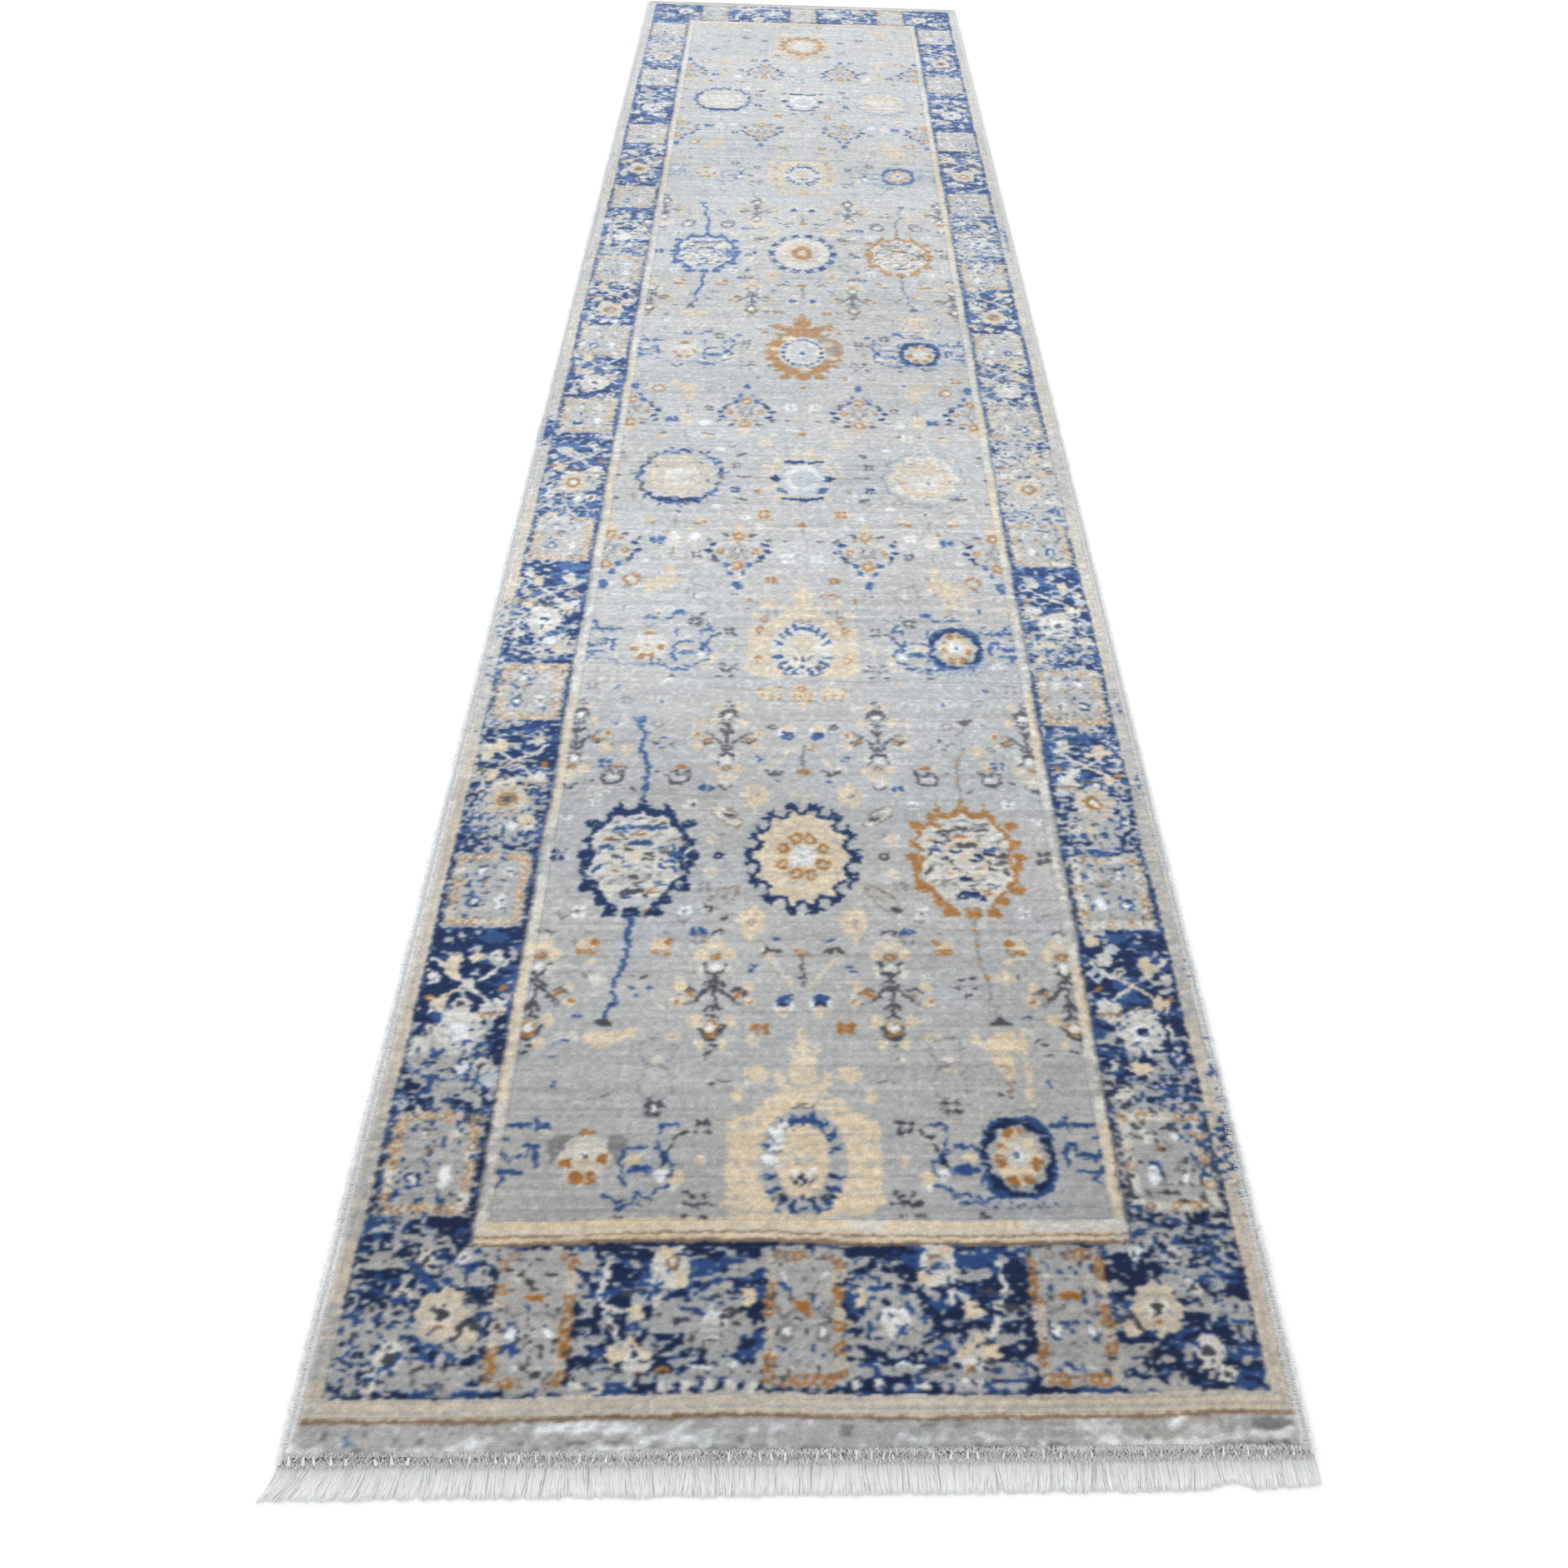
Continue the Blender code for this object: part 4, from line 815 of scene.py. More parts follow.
def border_fill_side(k, x, y0, y1, s, n, rich=True):
    """The dark stretch of the side border between two cartouches: a large rosette, vines and cream flowers. s is the side."""
    mid = (y0 + y1) / 2
    rng = np.random.RandomState(200 + n)
    k.at(0, 0, mx=s)
    xin, xout = 0.355, 0.467
    r = 0.031 if rich else 0.026
    ro = mid - 0.028 if (n // 2) % 2 else mid - 0.022
    bright = PEACH if rich and (n % 4 in (2, 3)) else PALE
    k.disc(0.412, ro, r + 0.003, NAVY)
    k.rosette(0.412, ro, r, petal=bright, eye=WHITE if n % 3 == 0 else (BLUE if n % 3 == 1 else CHAR), ring=TAN if bright == PEACH else WHITE, n=8)
    # a vine with cream leaves above the rosette
    top = mid + 0.055
    k.line([(xin + 0.010, top + 0.018), (0.385, top), (0.412, top - 0.016), (0.440, top + 0.004), (xout - 0.006, top + 0.020)], 0.0046, PALE)
    k.line([(0.412, top - 0.016), (0.392, top - 0.030), (0.376, top - 0.048)], 0.0044, PALE)
    k.line([(0.412, top - 0.016), (0.436, top - 0.030), (0.444, top - 0.046)], 0.0044, CREAM)
    for px, py, rr, ink in ((0.436, top + 0.012, 0.0125, CREAM), (0.384, top + 0.022, 0.011, PALE), (0.372, top - 0.044, 0.010, WHITE), (0.440, top - 0.040, 0.010, CREAM), (0.456, top - 0.006, 0.008, PALE)):
        k.disc(px, py, rr, ink, ry=rr * 1.15, lobes=5, depth=0.25)
    k.disc(0.369, top - 0.020, 0.0055, TAN, ry=0.005)
    k.disc(0.455, top - 0.034, 0.006, TAN, ry=0.004)
    # a bell between the vine and the rosette
    k.disc(0.378, mid + 0.004, 0.017, PALE, ry=0.014)
    k.line([(0.362, mid + 0.001), (0.394, mid + 0.001)], 0.0026, BROWN)
    k.dashes([(0.368, mid - 0.004), (0.378, mid - 0.004), (0.388, mid - 0.004)], 0.004, 0.004, TAN)
    k.line([(0.404, mid + 0.010), (0.440, mid + 0.010)], 0.0046, CHAR, gap=0.08)
    k.disc(0.424, mid + 0.002, 0.012, PALE, ry=0.006)
    # below the rosette
    low = ro - r - 0.016
    k.disc(0.398, low, 0.0095, CREAM if n % 2 else WHITE, lobes=4, depth=0.3)
    k.disc(0.376, low + 0.004, 0.0105, PALE, lobes=5, depth=0.25)
    k.disc(0.376, low + 0.004, 0.0035, CHAR)
    k.disc(0.448, low + 0.014, 0.010, PALE, lobes=5, depth=0.3)
    k.line([(0.380, low - 0.010), (0.440, low - 0.008)], 0.0030, LBLUE, gap=0.3)
    k.line([(0.452, ro + 0.040), (0.448, ro), (0.455, ro - 0.030)], 0.0042, PALE, gap=0.2)
    for q in range(20):
        px, py = xin + 0.004 + rng.rand() * (xout - xin - 0.008), y0 + rng.rand() * (y1 - y0)
        k.leaf(px, py, 0.010 + 0.016 * rng.rand(), 0.0046, (rng.rand() - 0.5) * 80, (CART, PALE, NAVY, CART)[q % 4])
    for q in range(11):
        px, py = xin + 0.006 + rng.rand() * (xout - xin - 0.012), y0 + rng.rand() * (y1 - y0)
        if abs(px - 0.412) < 0.03 and abs(py - ro) < 0.034:
            continue
        r = 0.0055 + 0.0055 * rng.rand()
        k.disc(px, py, r * 1.15, (PALE, CART, CREAM, CART, SKY)[q % 5], ry=r, lobes=4 + q % 3, depth=0.28)
        if q % 3 == 0:
            k.disc(px, py, r * 0.38, (CHAR, NAVY)[q % 2])


def border_fill_end(k, x0, x1, y, n, my=1):
    """The dark stretch of an end border between two cartouches."""
    mid = (x0 + x1) / 2
    rng = np.random.RandomState(300 + n)
    k.at(mid, y, mx=1 if n % 2 else -1, my=my)
    w = (x1 - x0) / 2
    k.rosette(-0.046, -0.006, 0.036, petal=CART, eye=WHITE, ring=WHITE, n=8)
    k.disc(-0.046, -0.010, 0.013, PALE, lobes=6, depth=0.2)
    k.disc(-0.046, -0.010, 0.006, WHITE, hole=0.4)
    k.disc(0.000, 0.050, 0.017, PALE, ry=0.026, lobes=6, depth=0.2)
    k.disc(0.000, 0.052, 0.008, BROWN, hole=0.5)
    k.disc(0.008, 0.062, 0.008, CREAM, ry=0.006)
    k.disc(-0.012, 0.036, 0.008, CREAM)
    k.line([(0.016, 0.058), (0.018, 0.034), (0.012, 0.012)], 0.0060, PALE, gap=0.08)
    k.line([(0.066, 0.050), (0.072, 0.024), (0.056, -0.012), (0.040, -0.034), (0.034, -0.062)], 0.0070, PALE, gap=0.06)
    k.line([(0.024, 0.020), (0.040, 0.000), (0.060, 0.010)], 0.0050, PALE)
    k.line([(0.040, -0.020), (0.020, -0.036)], 0.0060, CREAM)
    k.disc(0.034, 0.004, 0.010, CREAM, lobes=5, depth=0.25)
    k.disc(0.050, -0.036, 0.012, CREAM, ry=0.010, lobes=5, depth=0.3)
    k.disc(0.026, -0.044, 0.010, PALE, ry=0.008)
    k.disc(0.018, -0.024, 0.009, CART, lobes=5, depth=0.25)
    k.disc(-0.082, 0.018, 0.008, CREAM, ry=0.010)
    k.poly([(-0.080, 0.060), (-0.070, 0.030), (-0.050, 0.060)], LBLUE)
    k.line([(-0.090, -0.050), (-0.040, -0.050), (0.004, -0.056), (w - 0.01, -0.052)], 0.0090, CART, gap=0.05)
    k.line([(-0.080, -0.044), (-0.020, -0.045)], 0.0024, WHITE, gap=0.35)
    k.line([(-0.010, -0.046), (0.030, -0.050)], 0.0024, TAN, gap=0.5)
    for q in range(-4, 5):
        if rng.rand() < 0.6:
            k.disc(q * 0.022, -0.063, 0.006, PALE, ry=0.005)
    for q in range(34):
        px, py = (rng.rand() * 2 - 1) * (w - 0.010), (rng.rand() * 2 - 1) * 0.060
        k.leaf(px, py, 0.012 + 0.034 * rng.rand() ** 2, 0.0052, (rng.rand() - 0.5) * 26, (CART, NAVY, NAVY, CART, CHAR, NAVY)[q % 6])


def corner(k, sx, y, my, n):
    """The corner of the border: a rosette in streaked blue."""
    k.at(0, 0, mx=sx)
    k.disc(0.369, y, 0.030, NAVY)
    k.rosette(0.369, y, 0.027, petal=PEACH if n else PALE, eye=CHAR, ring=PALE, n=8)
    k.leaf(0.369, y - 0.012, 0.012, 0.005, 0, TAN)
    k.disc(0.338, y - 0.020, 0.011, PEACH, ry=0.008, lobes=5, depth=0.2)
    k.line([(0.326, y - 0.012), (0.344, y - 0.008), (0.350, y - 0.022)], 0.0044, CHAR)
    for px, py, r, ink in ((0.412, y + 0.020, 0.009, PALE), (0.414, y - 0.040, 0.017, PALE), (0.440, y + 0.006, 0.008, CART), (0.452, y - 0.020, 0.012, CART), (0.396, y + 0.052, 0.010, PALE), (0.428, y - 0.062, 0.009, PALE), (0.357, y + 0.054, 0.007, WHITE)):
        k.disc(px, py * 1.0, r, ink, lobes=6, depth=0.25)
        k.disc(px, py, r * 0.35, CHAR)


def weave_design(x, y, near=-2.0, far=2.0):
    """The ink of each knot on the grid x by y."""
    k = Loom(x, y)
    ink = k.ink
    X, Y = np.meshgrid(x, y)
    X = X + k.wx * 0.6 + (noise2(x, y, 0.3, 0.05, 21) - 0.5) * 0.004
    Y = Y + k.wy * 0.6 + (noise2(x, y, 0.12, 0.5, 22) - 0.5) * 0.006
    # zones, from the outside in
    ax = np.abs(X)
    n0, n1, n2, n3 = -1.9630, -1.9450, -1.8050, -1.7790
    f0, f1, f2, f3 = 1.9840, 1.9730, 1.8350, 1.8140
    ink[:] = MARG
    inside = (ax < 0.4865) & (Y > n0) & (Y < f0)
    ink[inside] = PEACH
    line = inside & (np.abs(ax - 0.478) < 0.0012) | inside & (np.abs(Y - (n0 + 0.006)) < 0.0011) | inside & (np.abs(Y - (n1 - 0.0035)) < 0.001)
    ink[line] = FIELD
    ink[(ax < 0.490) & (Y > n0 - 0.0035) & (Y <= n0)] = BROWN
    ink[(X > 0.4865) & (X < 0.4895) & (Y > n0) & (Y < f0)] = BROWN
    blue = (ax < 0.4685) & (Y > n1) & (Y < f1)
    ink[blue] = NAVY
    inner = (ax < 0.3545) & (Y > n2 + 0.0005) & (Y < f2)
    ink[inner] = CREAM
    ink[inner & (Y < n2 + 0.0045)] = BROWN
    ink[inner & (np.abs(Y - (n2 + 0.0105)) < 0.0010)] = BROWN
    ink[inner & (np.abs(Y - (n2 + 0.0150)) < 0.0012)] = PALE
    ink[inner & (ax > 0.3505)] = DGREY
    ink[inner & (np.abs(ax - 0.3430) < 0.0011)] = PALE
    field = (ax < 0.3385) & (Y > n3) & (Y < f3)
    ink[field] = FIELD
    # blue turns lighter in places, and more often toward the far end, a painted lightening there
    soft = noise2(x, y, 0.06, 0.012, 31) * 0.6 + noise2(x, y, 0.022, 0.006, 32) * 0.4
    lean = np.clip((Y + 1.55) / 1.2, 0, 1) * 0.16 - 0.03 - np.where(X > 0, 0.06, 0)
    ink[(ink == NAVY) & (soft < 0.40 + lean)] = BLUE
    return k, soft, (n0, n1, n2, n3, f0, f1, f2, f3)


def small_marks(k):
    """The many little marks between the rows, the same on both sides of the middle."""
    rng = np.random.RandomState(720)
    k.at(0, 0)
    y = -1.60
    row = 0
    while y < 1.80:
        calm = y < -1.52
        x = 0.020 + 0.030 * (row % 2)
        while x < 0.330:
            jx, jy = (rng.rand() - 0.5) * 0.020, (rng.rand() - 0.5) * 0.020
            kind, pick, size = rng.randint(6), rng.rand(), 0.75 + 0.5 * rng.rand()
            tone = DGREY if pick < 0.34 else CREAM if pick < 0.56 else PALE if pick < 0.74 else WHITE if pick < 0.80 else CHAR if pick < 0.90 else BLUE if pick < 0.97 else TAN
            skip = rng.rand() < (0.60 if calm else 0.22)
            for sx in (-1, 1):
                px, py = (x + jx) * sx, y + jy
                if skip or rng.rand() < 0.12:
                    continue
                if kind == 0:
                    k.dashes([(px - 0.006 * size, py), (px + 0.006 * size, py)], 0.008 * size, 0.0040, tone)
                elif kind == 1:
                    k.disc(px, py, 0.0072 * size, tone, ry=0.0062 * size, hole=0.40)
                elif kind == 2:
                    for q in (-1, 1):
                        k.disc(px + 0.0052 * q * size, py + 0.0045 * size, 0.0036 * size, tone)
                        k.disc(px + 0.0052 * q * size, py - 0.0045 * size, 0.0036 * size, tone)
                elif kind == 3:
                    k.line([(px - 0.009 * size, py + 0.005), (px, py - 0.004), (px + 0.009 * size, py + 0.005)], 0.0030, tone, gap=0.1)
                elif kind == 4:
                    k.leaf(px, py, 0.017 * size, 0.0052, (35 if q_even(row) else -35) * sx, tone)
                else:
                    k.disc(px, py, 0.0085 * size, PALE if tone != PALE else DGREY, ry=0.0065 * size, lobes=5, depth=0.25)
                    k.disc(px, py, 0.0036 * size, tone)
            x += 0.046 + 0.016 * rng.rand()
        y += 0.036 + 0.008 * rng.rand()
        row += 1


def q_even(n):
    return n % 2 == 0


A_ROWS = (-1.712, -0.912, -0.060, 0.765, 1.640)
B_ROWS = (-1.308, 0.355)
C_ROWS = (-0.480, 1.225)
CARTS = (-1.716, -1.362, -1.012, -0.657, -0.296, -0.030, 0.268, 0.620, 0.985, 1.370, 1.745)


def draw_design(x, y):
    k, soft, zones = weave_design(x, y)
    n0, n1, n2, n3, f0, f1, f2, f3 = zones
    keep = k.ink.copy()
    small_marks(k)
    # rows of the field
    for n, ya in enumerate(A_ROWS):
        row_a(k, ya, n + 1)
    for n, yb in enumerate(B_ROWS):
        row_b(k, yb, n + 1)
    for n, yc in enumerate(C_ROWS):
        row_c(k, yc, n + 1)
    row_ab(k, A_ROWS[0], B_ROWS[0], 0)
    row_ab(k, A_ROWS[1], B_ROWS[0], 1)
    row_ac(k, A_ROWS[1], C_ROWS[0], 2)
    row_ac(k, A_ROWS[2], C_ROWS[0], 3)
    row_ab(k, A_ROWS[2], B_ROWS[1], 4)
    row_ab(k, A_ROWS[3], B_ROWS[1], 5)
    row_ac(k, A_ROWS[3], C_ROWS[1], 6)
    row_ac(k, A_ROWS[4], C_ROWS[1], 7)
    # nothing of the field's rows goes over the stripes or the border
    X, Y = np.meshgrid(x, y)
    outside = ~((np.abs(X) < 0.3385) & (Y > n3) & (Y < f3))
    k.ink[outside] = keep[outside]
    field = k.ink.copy()
    # the main border
    for s in (-1, 1):
        for n, yc in enumerate(CARTS):
            cartouche(k, 0.411 * s, yc, n=n * 2 + (s > 0), seen=0.85 if s < 0 or n > 1 else 0.5, chain=0.30 if n < 5 else 0.16)
        for n, (ya, yb) in enumerate(zip(CARTS[:-1], CARTS[1:])):
            border_fill_side(k, 0, ya + 0.058, yb - 0.058, s, n * 2 + (s > 0))
    for n, xc in enumerate((-0.277, 0.002, 0.279)):
        end_cartouche(k, xc, -1.8745, n)
        end_cartouche(k, xc, 1.905, n)
    for my, yc in ((1, -1.8745), (-1, 1.903)):
        border_fill_end(k, -0.236, -0.040, yc, 0, my)
        border_fill_end(k, 0.044, 0.238, yc, 1, my)
    corner(k, -1, -1.871, 1, 1)
    corner(k, 1, -1.869, 1, 1)
    corner(k, -1, 1.915, 1, 0)
    corner(k, 1, 1.890, 1, 0)
    xw = np.abs(X + k.wx)
    border = (xw < 0.4685) & (Y > n1) & (Y < f1) & ~((xw < 0.3545) & (Y > n2 + 0.0005) & (Y < f2))
    k.ink[~border] = field[~border]
    wear(k, X, Y, border, soft, zones)
    return k


def blob(X, Y, x, y, rx, ry):
    return np.exp(-((X - x) / rx) ** 2 - ((Y - y) / ry) ** 2)


def wear(k, X, Y, border, soft, zones):
    """The worn look: streaks across the width, blue that breaks into specks, and specks that spill into the margin.
    Pale flecks grow toward the far end as painted light, and the near end's silvery specks are partly painted sheen.
    """
    n0, n1, n2, n3, f0, f1, f2, f3 = zones
    x, y, ink = k.x, k.y, k.ink
    rng = np.random.RandomState(77)
    speck = rng.rand(*ink.shape) * 0.16 + noise2(x, y, 0.0080, 0.0036, 78) * 0.50 + noise2(x, y, 0.0052, 0.0046, 178) * 0.34
    streak = noise2(x, y, 0.030, 0.0060, 79) * 0.55 + noise2(x, y, 0.011, 0.0042, 80) * 0.45
    patch = noise2(x, y, 0.09, 0.07, 81) * 0.6 + noise2(x, y, 0.03, 0.02, 82) * 0.4
    # how far the blue is worn, by place
    w = np.zeros(ink.shape)
    for px, py, rx, ry, a in (
        (0.41, -1.70, 0.09, 0.13, 0.62), (0.40, -1.80, 0.10, 0.035, 0.50), (0.44, -1.60, 0.06, 0.05, 0.25),
        (0.44, -1.05, 0.06, 0.10, 0.34), (0.44, -1.17, 0.05, 0.06, 0.30), (0.42, -0.50, 0.07, 0.17, 0.50),
        (0.41, 0.42, 0.07, 0.20, 0.54), (0.41, -0.20, 0.07, 0.07, 0.34), (0.41, 0.93, 0.07, 0.10, 0.25), (0.43, 1.30, 0.06, 0.10, 0.2),
        (-0.42, 0.30, 0.07, 0.17, 0.48), (-0.45, -1.05, 0.05, 0.17, 0.40), (-0.46, -0.86, 0.05, 0.12, 0.42),
        (-0.43, -0.28, 0.06, 0.10, 0.25), (-0.42, 0.75, 0.06, 0.16, 0.18), (-0.42, 1.3, 0.06, 0.15, 0.2),
        (-0.46, -1.84, 0.025, 0.10, 0.40), (-0.42, -1.80, 0.06, 0.02, 0.22), (-0.16, -1.87, 0.06, 0.05, 0.20),
        (0.30, -1.87, 0.05, 0.07, 0.34), (0.42, -1.83, 0.05, 0.03, 0.40), (-0.24, -1.81, 0.05, 0.02, 0.15),
        (-0.37, 1.86, 0.1, 0.05, 0.2), (-0.41, -1.62, 0.07, 0.06, 0.64), (-0.41, -1.25, 0.08, 0.06, 0.60),
        (0.41, -1.25, 0.07, 0.06, 0.58), (-0.40, -0.90, 0.07, 0.07, 0.42), (0.40, -0.90, 0.07, 0.07, 0.50),
        (0.41, -0.50, 0.10, 0.17, 0.85), (-0.42, -0.55, 0.07, 0.08, 0.42), (-0.41, 1.62, 0.09, 0.14, 0.62),
        (-0.44, -1.80, 0.05, 0.04, 0.42), (-0.41, -1.92, 0.08, 0.02, 0.40), (-0.36, -1.82, 0.06, 0.03, 0.42), (-0.10, -1.87, 0.07, 0.05, 0.42), (-0.18, -1.90, 0.06, 0.03, 0.38), (0.14, -1.90, 0.08, 0.03, 0.30), (0.41, -1.84, 0.06, 0.03, 0.30), (0.08, -1.84, 0.04, 0.03, 0.25), (0.00, -1.88, 0.17, 0.05, 0.26), (0.20, -1.88, 0.10, 0.04, 0.24), (0.38, -1.91, 0.08, 0.03, 0.28), (-0.30, -1.88, 0.13, 0.07, 0.36), (-0.44, -1.90, 0.05, 0.06, 0.58),
    ):
        w = np.maximum(w, a * blob(X, Y, px, py, rx, ry))
    w = w + (patch - 0.5) * 0.20 + 0.04 - 0.25 * blob(X, Y, -0.41, -0.18, 0.08, 0.09) - 0.15 * blob(X, Y, 0.41, -0.74, 0.08, 0.07) - 0.20 * blob(X, Y, -0.41, -0.14, 0.08, 0.10) - 0.24 * blob(X, Y, -0.41, -1.50, 0.08, 0.07) - 0.20 * blob(X, Y, 0.41, -1.50, 0.08, 0.07)
    w = np.maximum(w, 0)
    dark = border & ((ink == BLUE) | (ink == NAVY) | (ink == LBLUE))
    # a ramp toward the far end that adds pale flecks there: painted light
    painted_far_light = np.clip((Y + 1.55) / 1.3, 0, 1)
    fleck = noise2(x, y, 0.0170, 0.0120, 101) * 0.56 + noise2(x, y, 0.0075, 0.0045, 102) * 0.44
    fleck2 = noise2(x, y, 0.0380, 0.0150, 103) * 0.60 + noise2(x, y, 0.0090, 0.0045, 104) * 0.40
    ink[dark & (fleck2 > 0.62)] = BLUE
    ink[dark & (fleck2 < 0.42)] = NAVY
    ink[dark & (fleck > 0.705 - 0.05 * painted_far_light - 0.20 * w)] = LBLUE
    ink[dark & (fleck > 0.730 - 0.05 * painted_far_light - 0.20 * w)] = CART
    ink[dark & (fleck < 0.205 + 0.12 * w)] = CART
    ink[dark & (streak < 0.200 + 0.02 * painted_far_light + w * 0.36)] = CART
    ink[dark & (speck < 0.08 + w * 0.84)] = CART
    # at the near end whole patches are worn off, wider than they are long
    tear = noise2(x, y, 0.040, 0.015, 107) * 0.58 + noise2(x, y, 0.012, 0.0055, 108) * 0.27 + speck * 0.15
    bare = 0.370 + 0.10 * blob(X, Y, -0.32, -1.90, 0.16, 0.06) + 0.06 * blob(X, Y, 0.10, -1.91, 0.25, 0.03) - 0.10 * blob(X, Y, 0.43, -1.93, 0.05, 0.02)
    ink[dark & (Y < -1.806) & (tear < bare)] = CART
    # darker specks that show through the grey of the border
    pale = border & ((ink == CART) | (ink == PALE))
    s2 = rng.rand(*ink.shape) * 0.12 + noise2(x, y, 0.0058, 0.0048, 83) * 0.88
    near = np.clip((-1.2 - Y) / 0.5, 0, 1)
    ink[pale & (s2 > 0.87 - 0.06 * near - np.clip(w, 0, 0.5) * 0.16)] = CHAR
    ink[pale & (s2 > 0.825 - 0.05 * near - np.clip(w, 0, 0.5) * 0.26) & (patch > 0.45)] = BLUE
    # the motifs' light inks are worn as well
    light = border & ((ink == PALE) | (ink == CREAM) | (ink == WHITE))
    ink[light & (streak < 0.24)] = CART
    # specks that spill over the stripe and the margin
    sp = np.zeros(ink.shape)
    for px, py, rx, ry, a in (
        (0.482, -1.70, 0.022, 0.060, 0.62), (0.490, -1.62, 0.014, 0.09, 0.46), (0.492, -1.48, 0.010, 0.06, 0.44),
        (0.470, -1.72, 0.02, 0.03, 0.60), (0.495, -1.33, 0.008, 0.05, 0.40), (0.485, -1.18, 0.016, 0.035, 0.46), (0.497, -1.17, 0.006, 0.03, 0.6),
        (0.480, -1.03, 0.012, 0.05, 0.34), (0.490, -0.45, 0.014, 0.12, 0.30), (0.485, 0.45, 0.02, 0.16, 0.42),
        (-0.482, -0.35, 0.024, 0.06, 0.72), (-0.480, -0.98, 0.018, 0.07, 0.36), (-0.480, -1.10, 0.016, 0.07, 0.26),
        (-0.480, -0.86, 0.018, 0.08, 0.40), (-0.492, -0.99, 0.010, 0.02, 0.5), (-0.485, 0.25, 0.016, 0.15, 0.34), (0.485, 1.0, 0.016, 0.12, 0.3),
        (-0.432, -1.982, 0.014, 0.016, 0.40),
    ):
        sp = np.maximum(sp, a * blob(X, Y, px, py, rx, ry))
    edge = ~border & ((np.abs(X) > 0.462) | (Y < n0))
    ink[edge & (speck < sp)] = BLUE
    ink[edge & (speck < sp - 0.16)] = NAVY
    ink[edge & (Y < n0) & (speck < sp)] = LBLUE
    # the outer stripe keeps its peach only in places
    keepc = noise2(x, y, 0.25, 0.16, 84)
    fade = (ink == PEACH) & (np.abs(X) > 0.4685) & (keepc < 0.62) & (Y > n1) & (Y > -1.93)
    vivid = np.zeros(ink.shape, bool)
    for sx, ya, yb in ((-1, -1.62, -1.24), (-1, -0.72, -0.52), (1, -2, -1.83), (1, -0.34, -0.20), (1, -0.96, -0.84), (-1, -1.86, -1.80), (-1, -0.10, 0.10)):
        vivid |= (X * sx > 0) & (Y > ya) & (Y < yb)
    ink[fade & ~vivid & (speck < 0.60)] = MARG
    # the inner stripe fades in places too
    inner = (ink == CREAM) & (np.abs(X) > 0.3380) & (np.abs(X) < 0.3560)
    f2n = noise2(x, y, 0.3, 0.11, 85)
    ink[inner & (f2n < 0.44) & (speck < 0.85)] = PALE
    ink[inner & (f2n < 0.26) & (speck < 0.60)] = CART
    bottom = (Y < n3) & (Y > n2) & (np.abs(X) < 0.3545) & (ink == CREAM)
    ink[bottom & (noise2(x, y, 0.10, 0.05, 86) < 0.34) & (Y > n2 + 0.013)] = PALE
    # the field's motifs break up across the width
    field = (np.abs(X) < 0.3385) & (Y > n3) & (Y < f3)
    fs = noise2(x, y, 0.016, 0.0034, 87) * 0.75 + rng.rand(*ink.shape) * 0.25
    ink[field & (fs < 0.245) & (ink != FIELD)] = FIELD
    ink[field & (fs > 0.84) & (ink == FIELD)] = PALE
    # silvery and white specks toward the near end, partly worn fibre and partly painted sheen
    tip = np.clip((-1.962 - Y) / 0.038, 0, 1)
    sil = noise2(x, y, 0.040, 0.0090, 88) * 0.5 + noise2(x, y, 0.0075, 0.0040, 89) * 0.5
    bias = 0.16 * (blob(X, Y, -0.20, -1.99, 0.12, 0.03) + blob(X, Y, 0.36, -1.99, 0.13, 0.03)) - 0.10 * blob(X, Y, 0.05, -1.99, 0.1, 0.05)
    margin = (ink == MARG) & (Y < -1.966)
    ink[margin & (sil + bias + 0.16 * tip > 0.70)] = SILVER
    ink[margin & (sil + bias * 1.4 + 0.20 * (tip > 0.80) > 0.84)] = WHITE
    ink[margin & (sil - 0.06 * tip < 0.20)] = DGREY
    soiled = blob(X, Y, 0.462, -1.974, 0.024, 0.009)
    ink[margin & (soiled > 0.20 + 0.7 * sil)] = DGREY


def srgb_to_linear(c):
    c = c / 255.0
    return np.where(c <= 0.04045, c / 12.92, ((c + 0.055) / 1.055) ** 2.4)


def row_lines(x, y):
    """0 to 1: thin wandering lines across the width, where two rows of the pile part."""
    drift = noise2(x, y, 0.30, 0.030, 95) * 0.9 + noise2(x, y, 0.05, 0.02, 97) * 0.15 + (y / 0.021)[:, None]
    near = np.abs(drift - np.round(drift)) * 0.021
    broken = np.clip((noise2(x, y, 0.16, 0.018, 98) - 0.36) / 0.16, 0, 1)
    return np.exp(-(near / 0.0012) ** 2) * broken


LEVEL = 0.85  # of the yarn's reflectance, for how bright the studio is


def smear(v, sigma, axis):
    """v with its steps softened along one axis, the way cut yarn ends lean over their neighbours."""
    n = max(1, int(math.ceil(2.5 * sigma)))
    w = np.exp(-0.5 * (np.arange(-n, n + 1) / sigma) ** 2)
    w /= w.sum()
    pad = [(0, 0), (0, 0)]
    pad[axis] = (n, n)
    p = np.pad(v, pad, mode="edge")
    out = np.zeros_like(v)
    for q in range(2 * n + 1):
        out += w[q] * (p[q:q + v.shape[0], :] if axis == 0 else p[:, q:q + v.shape[1]])
    return out


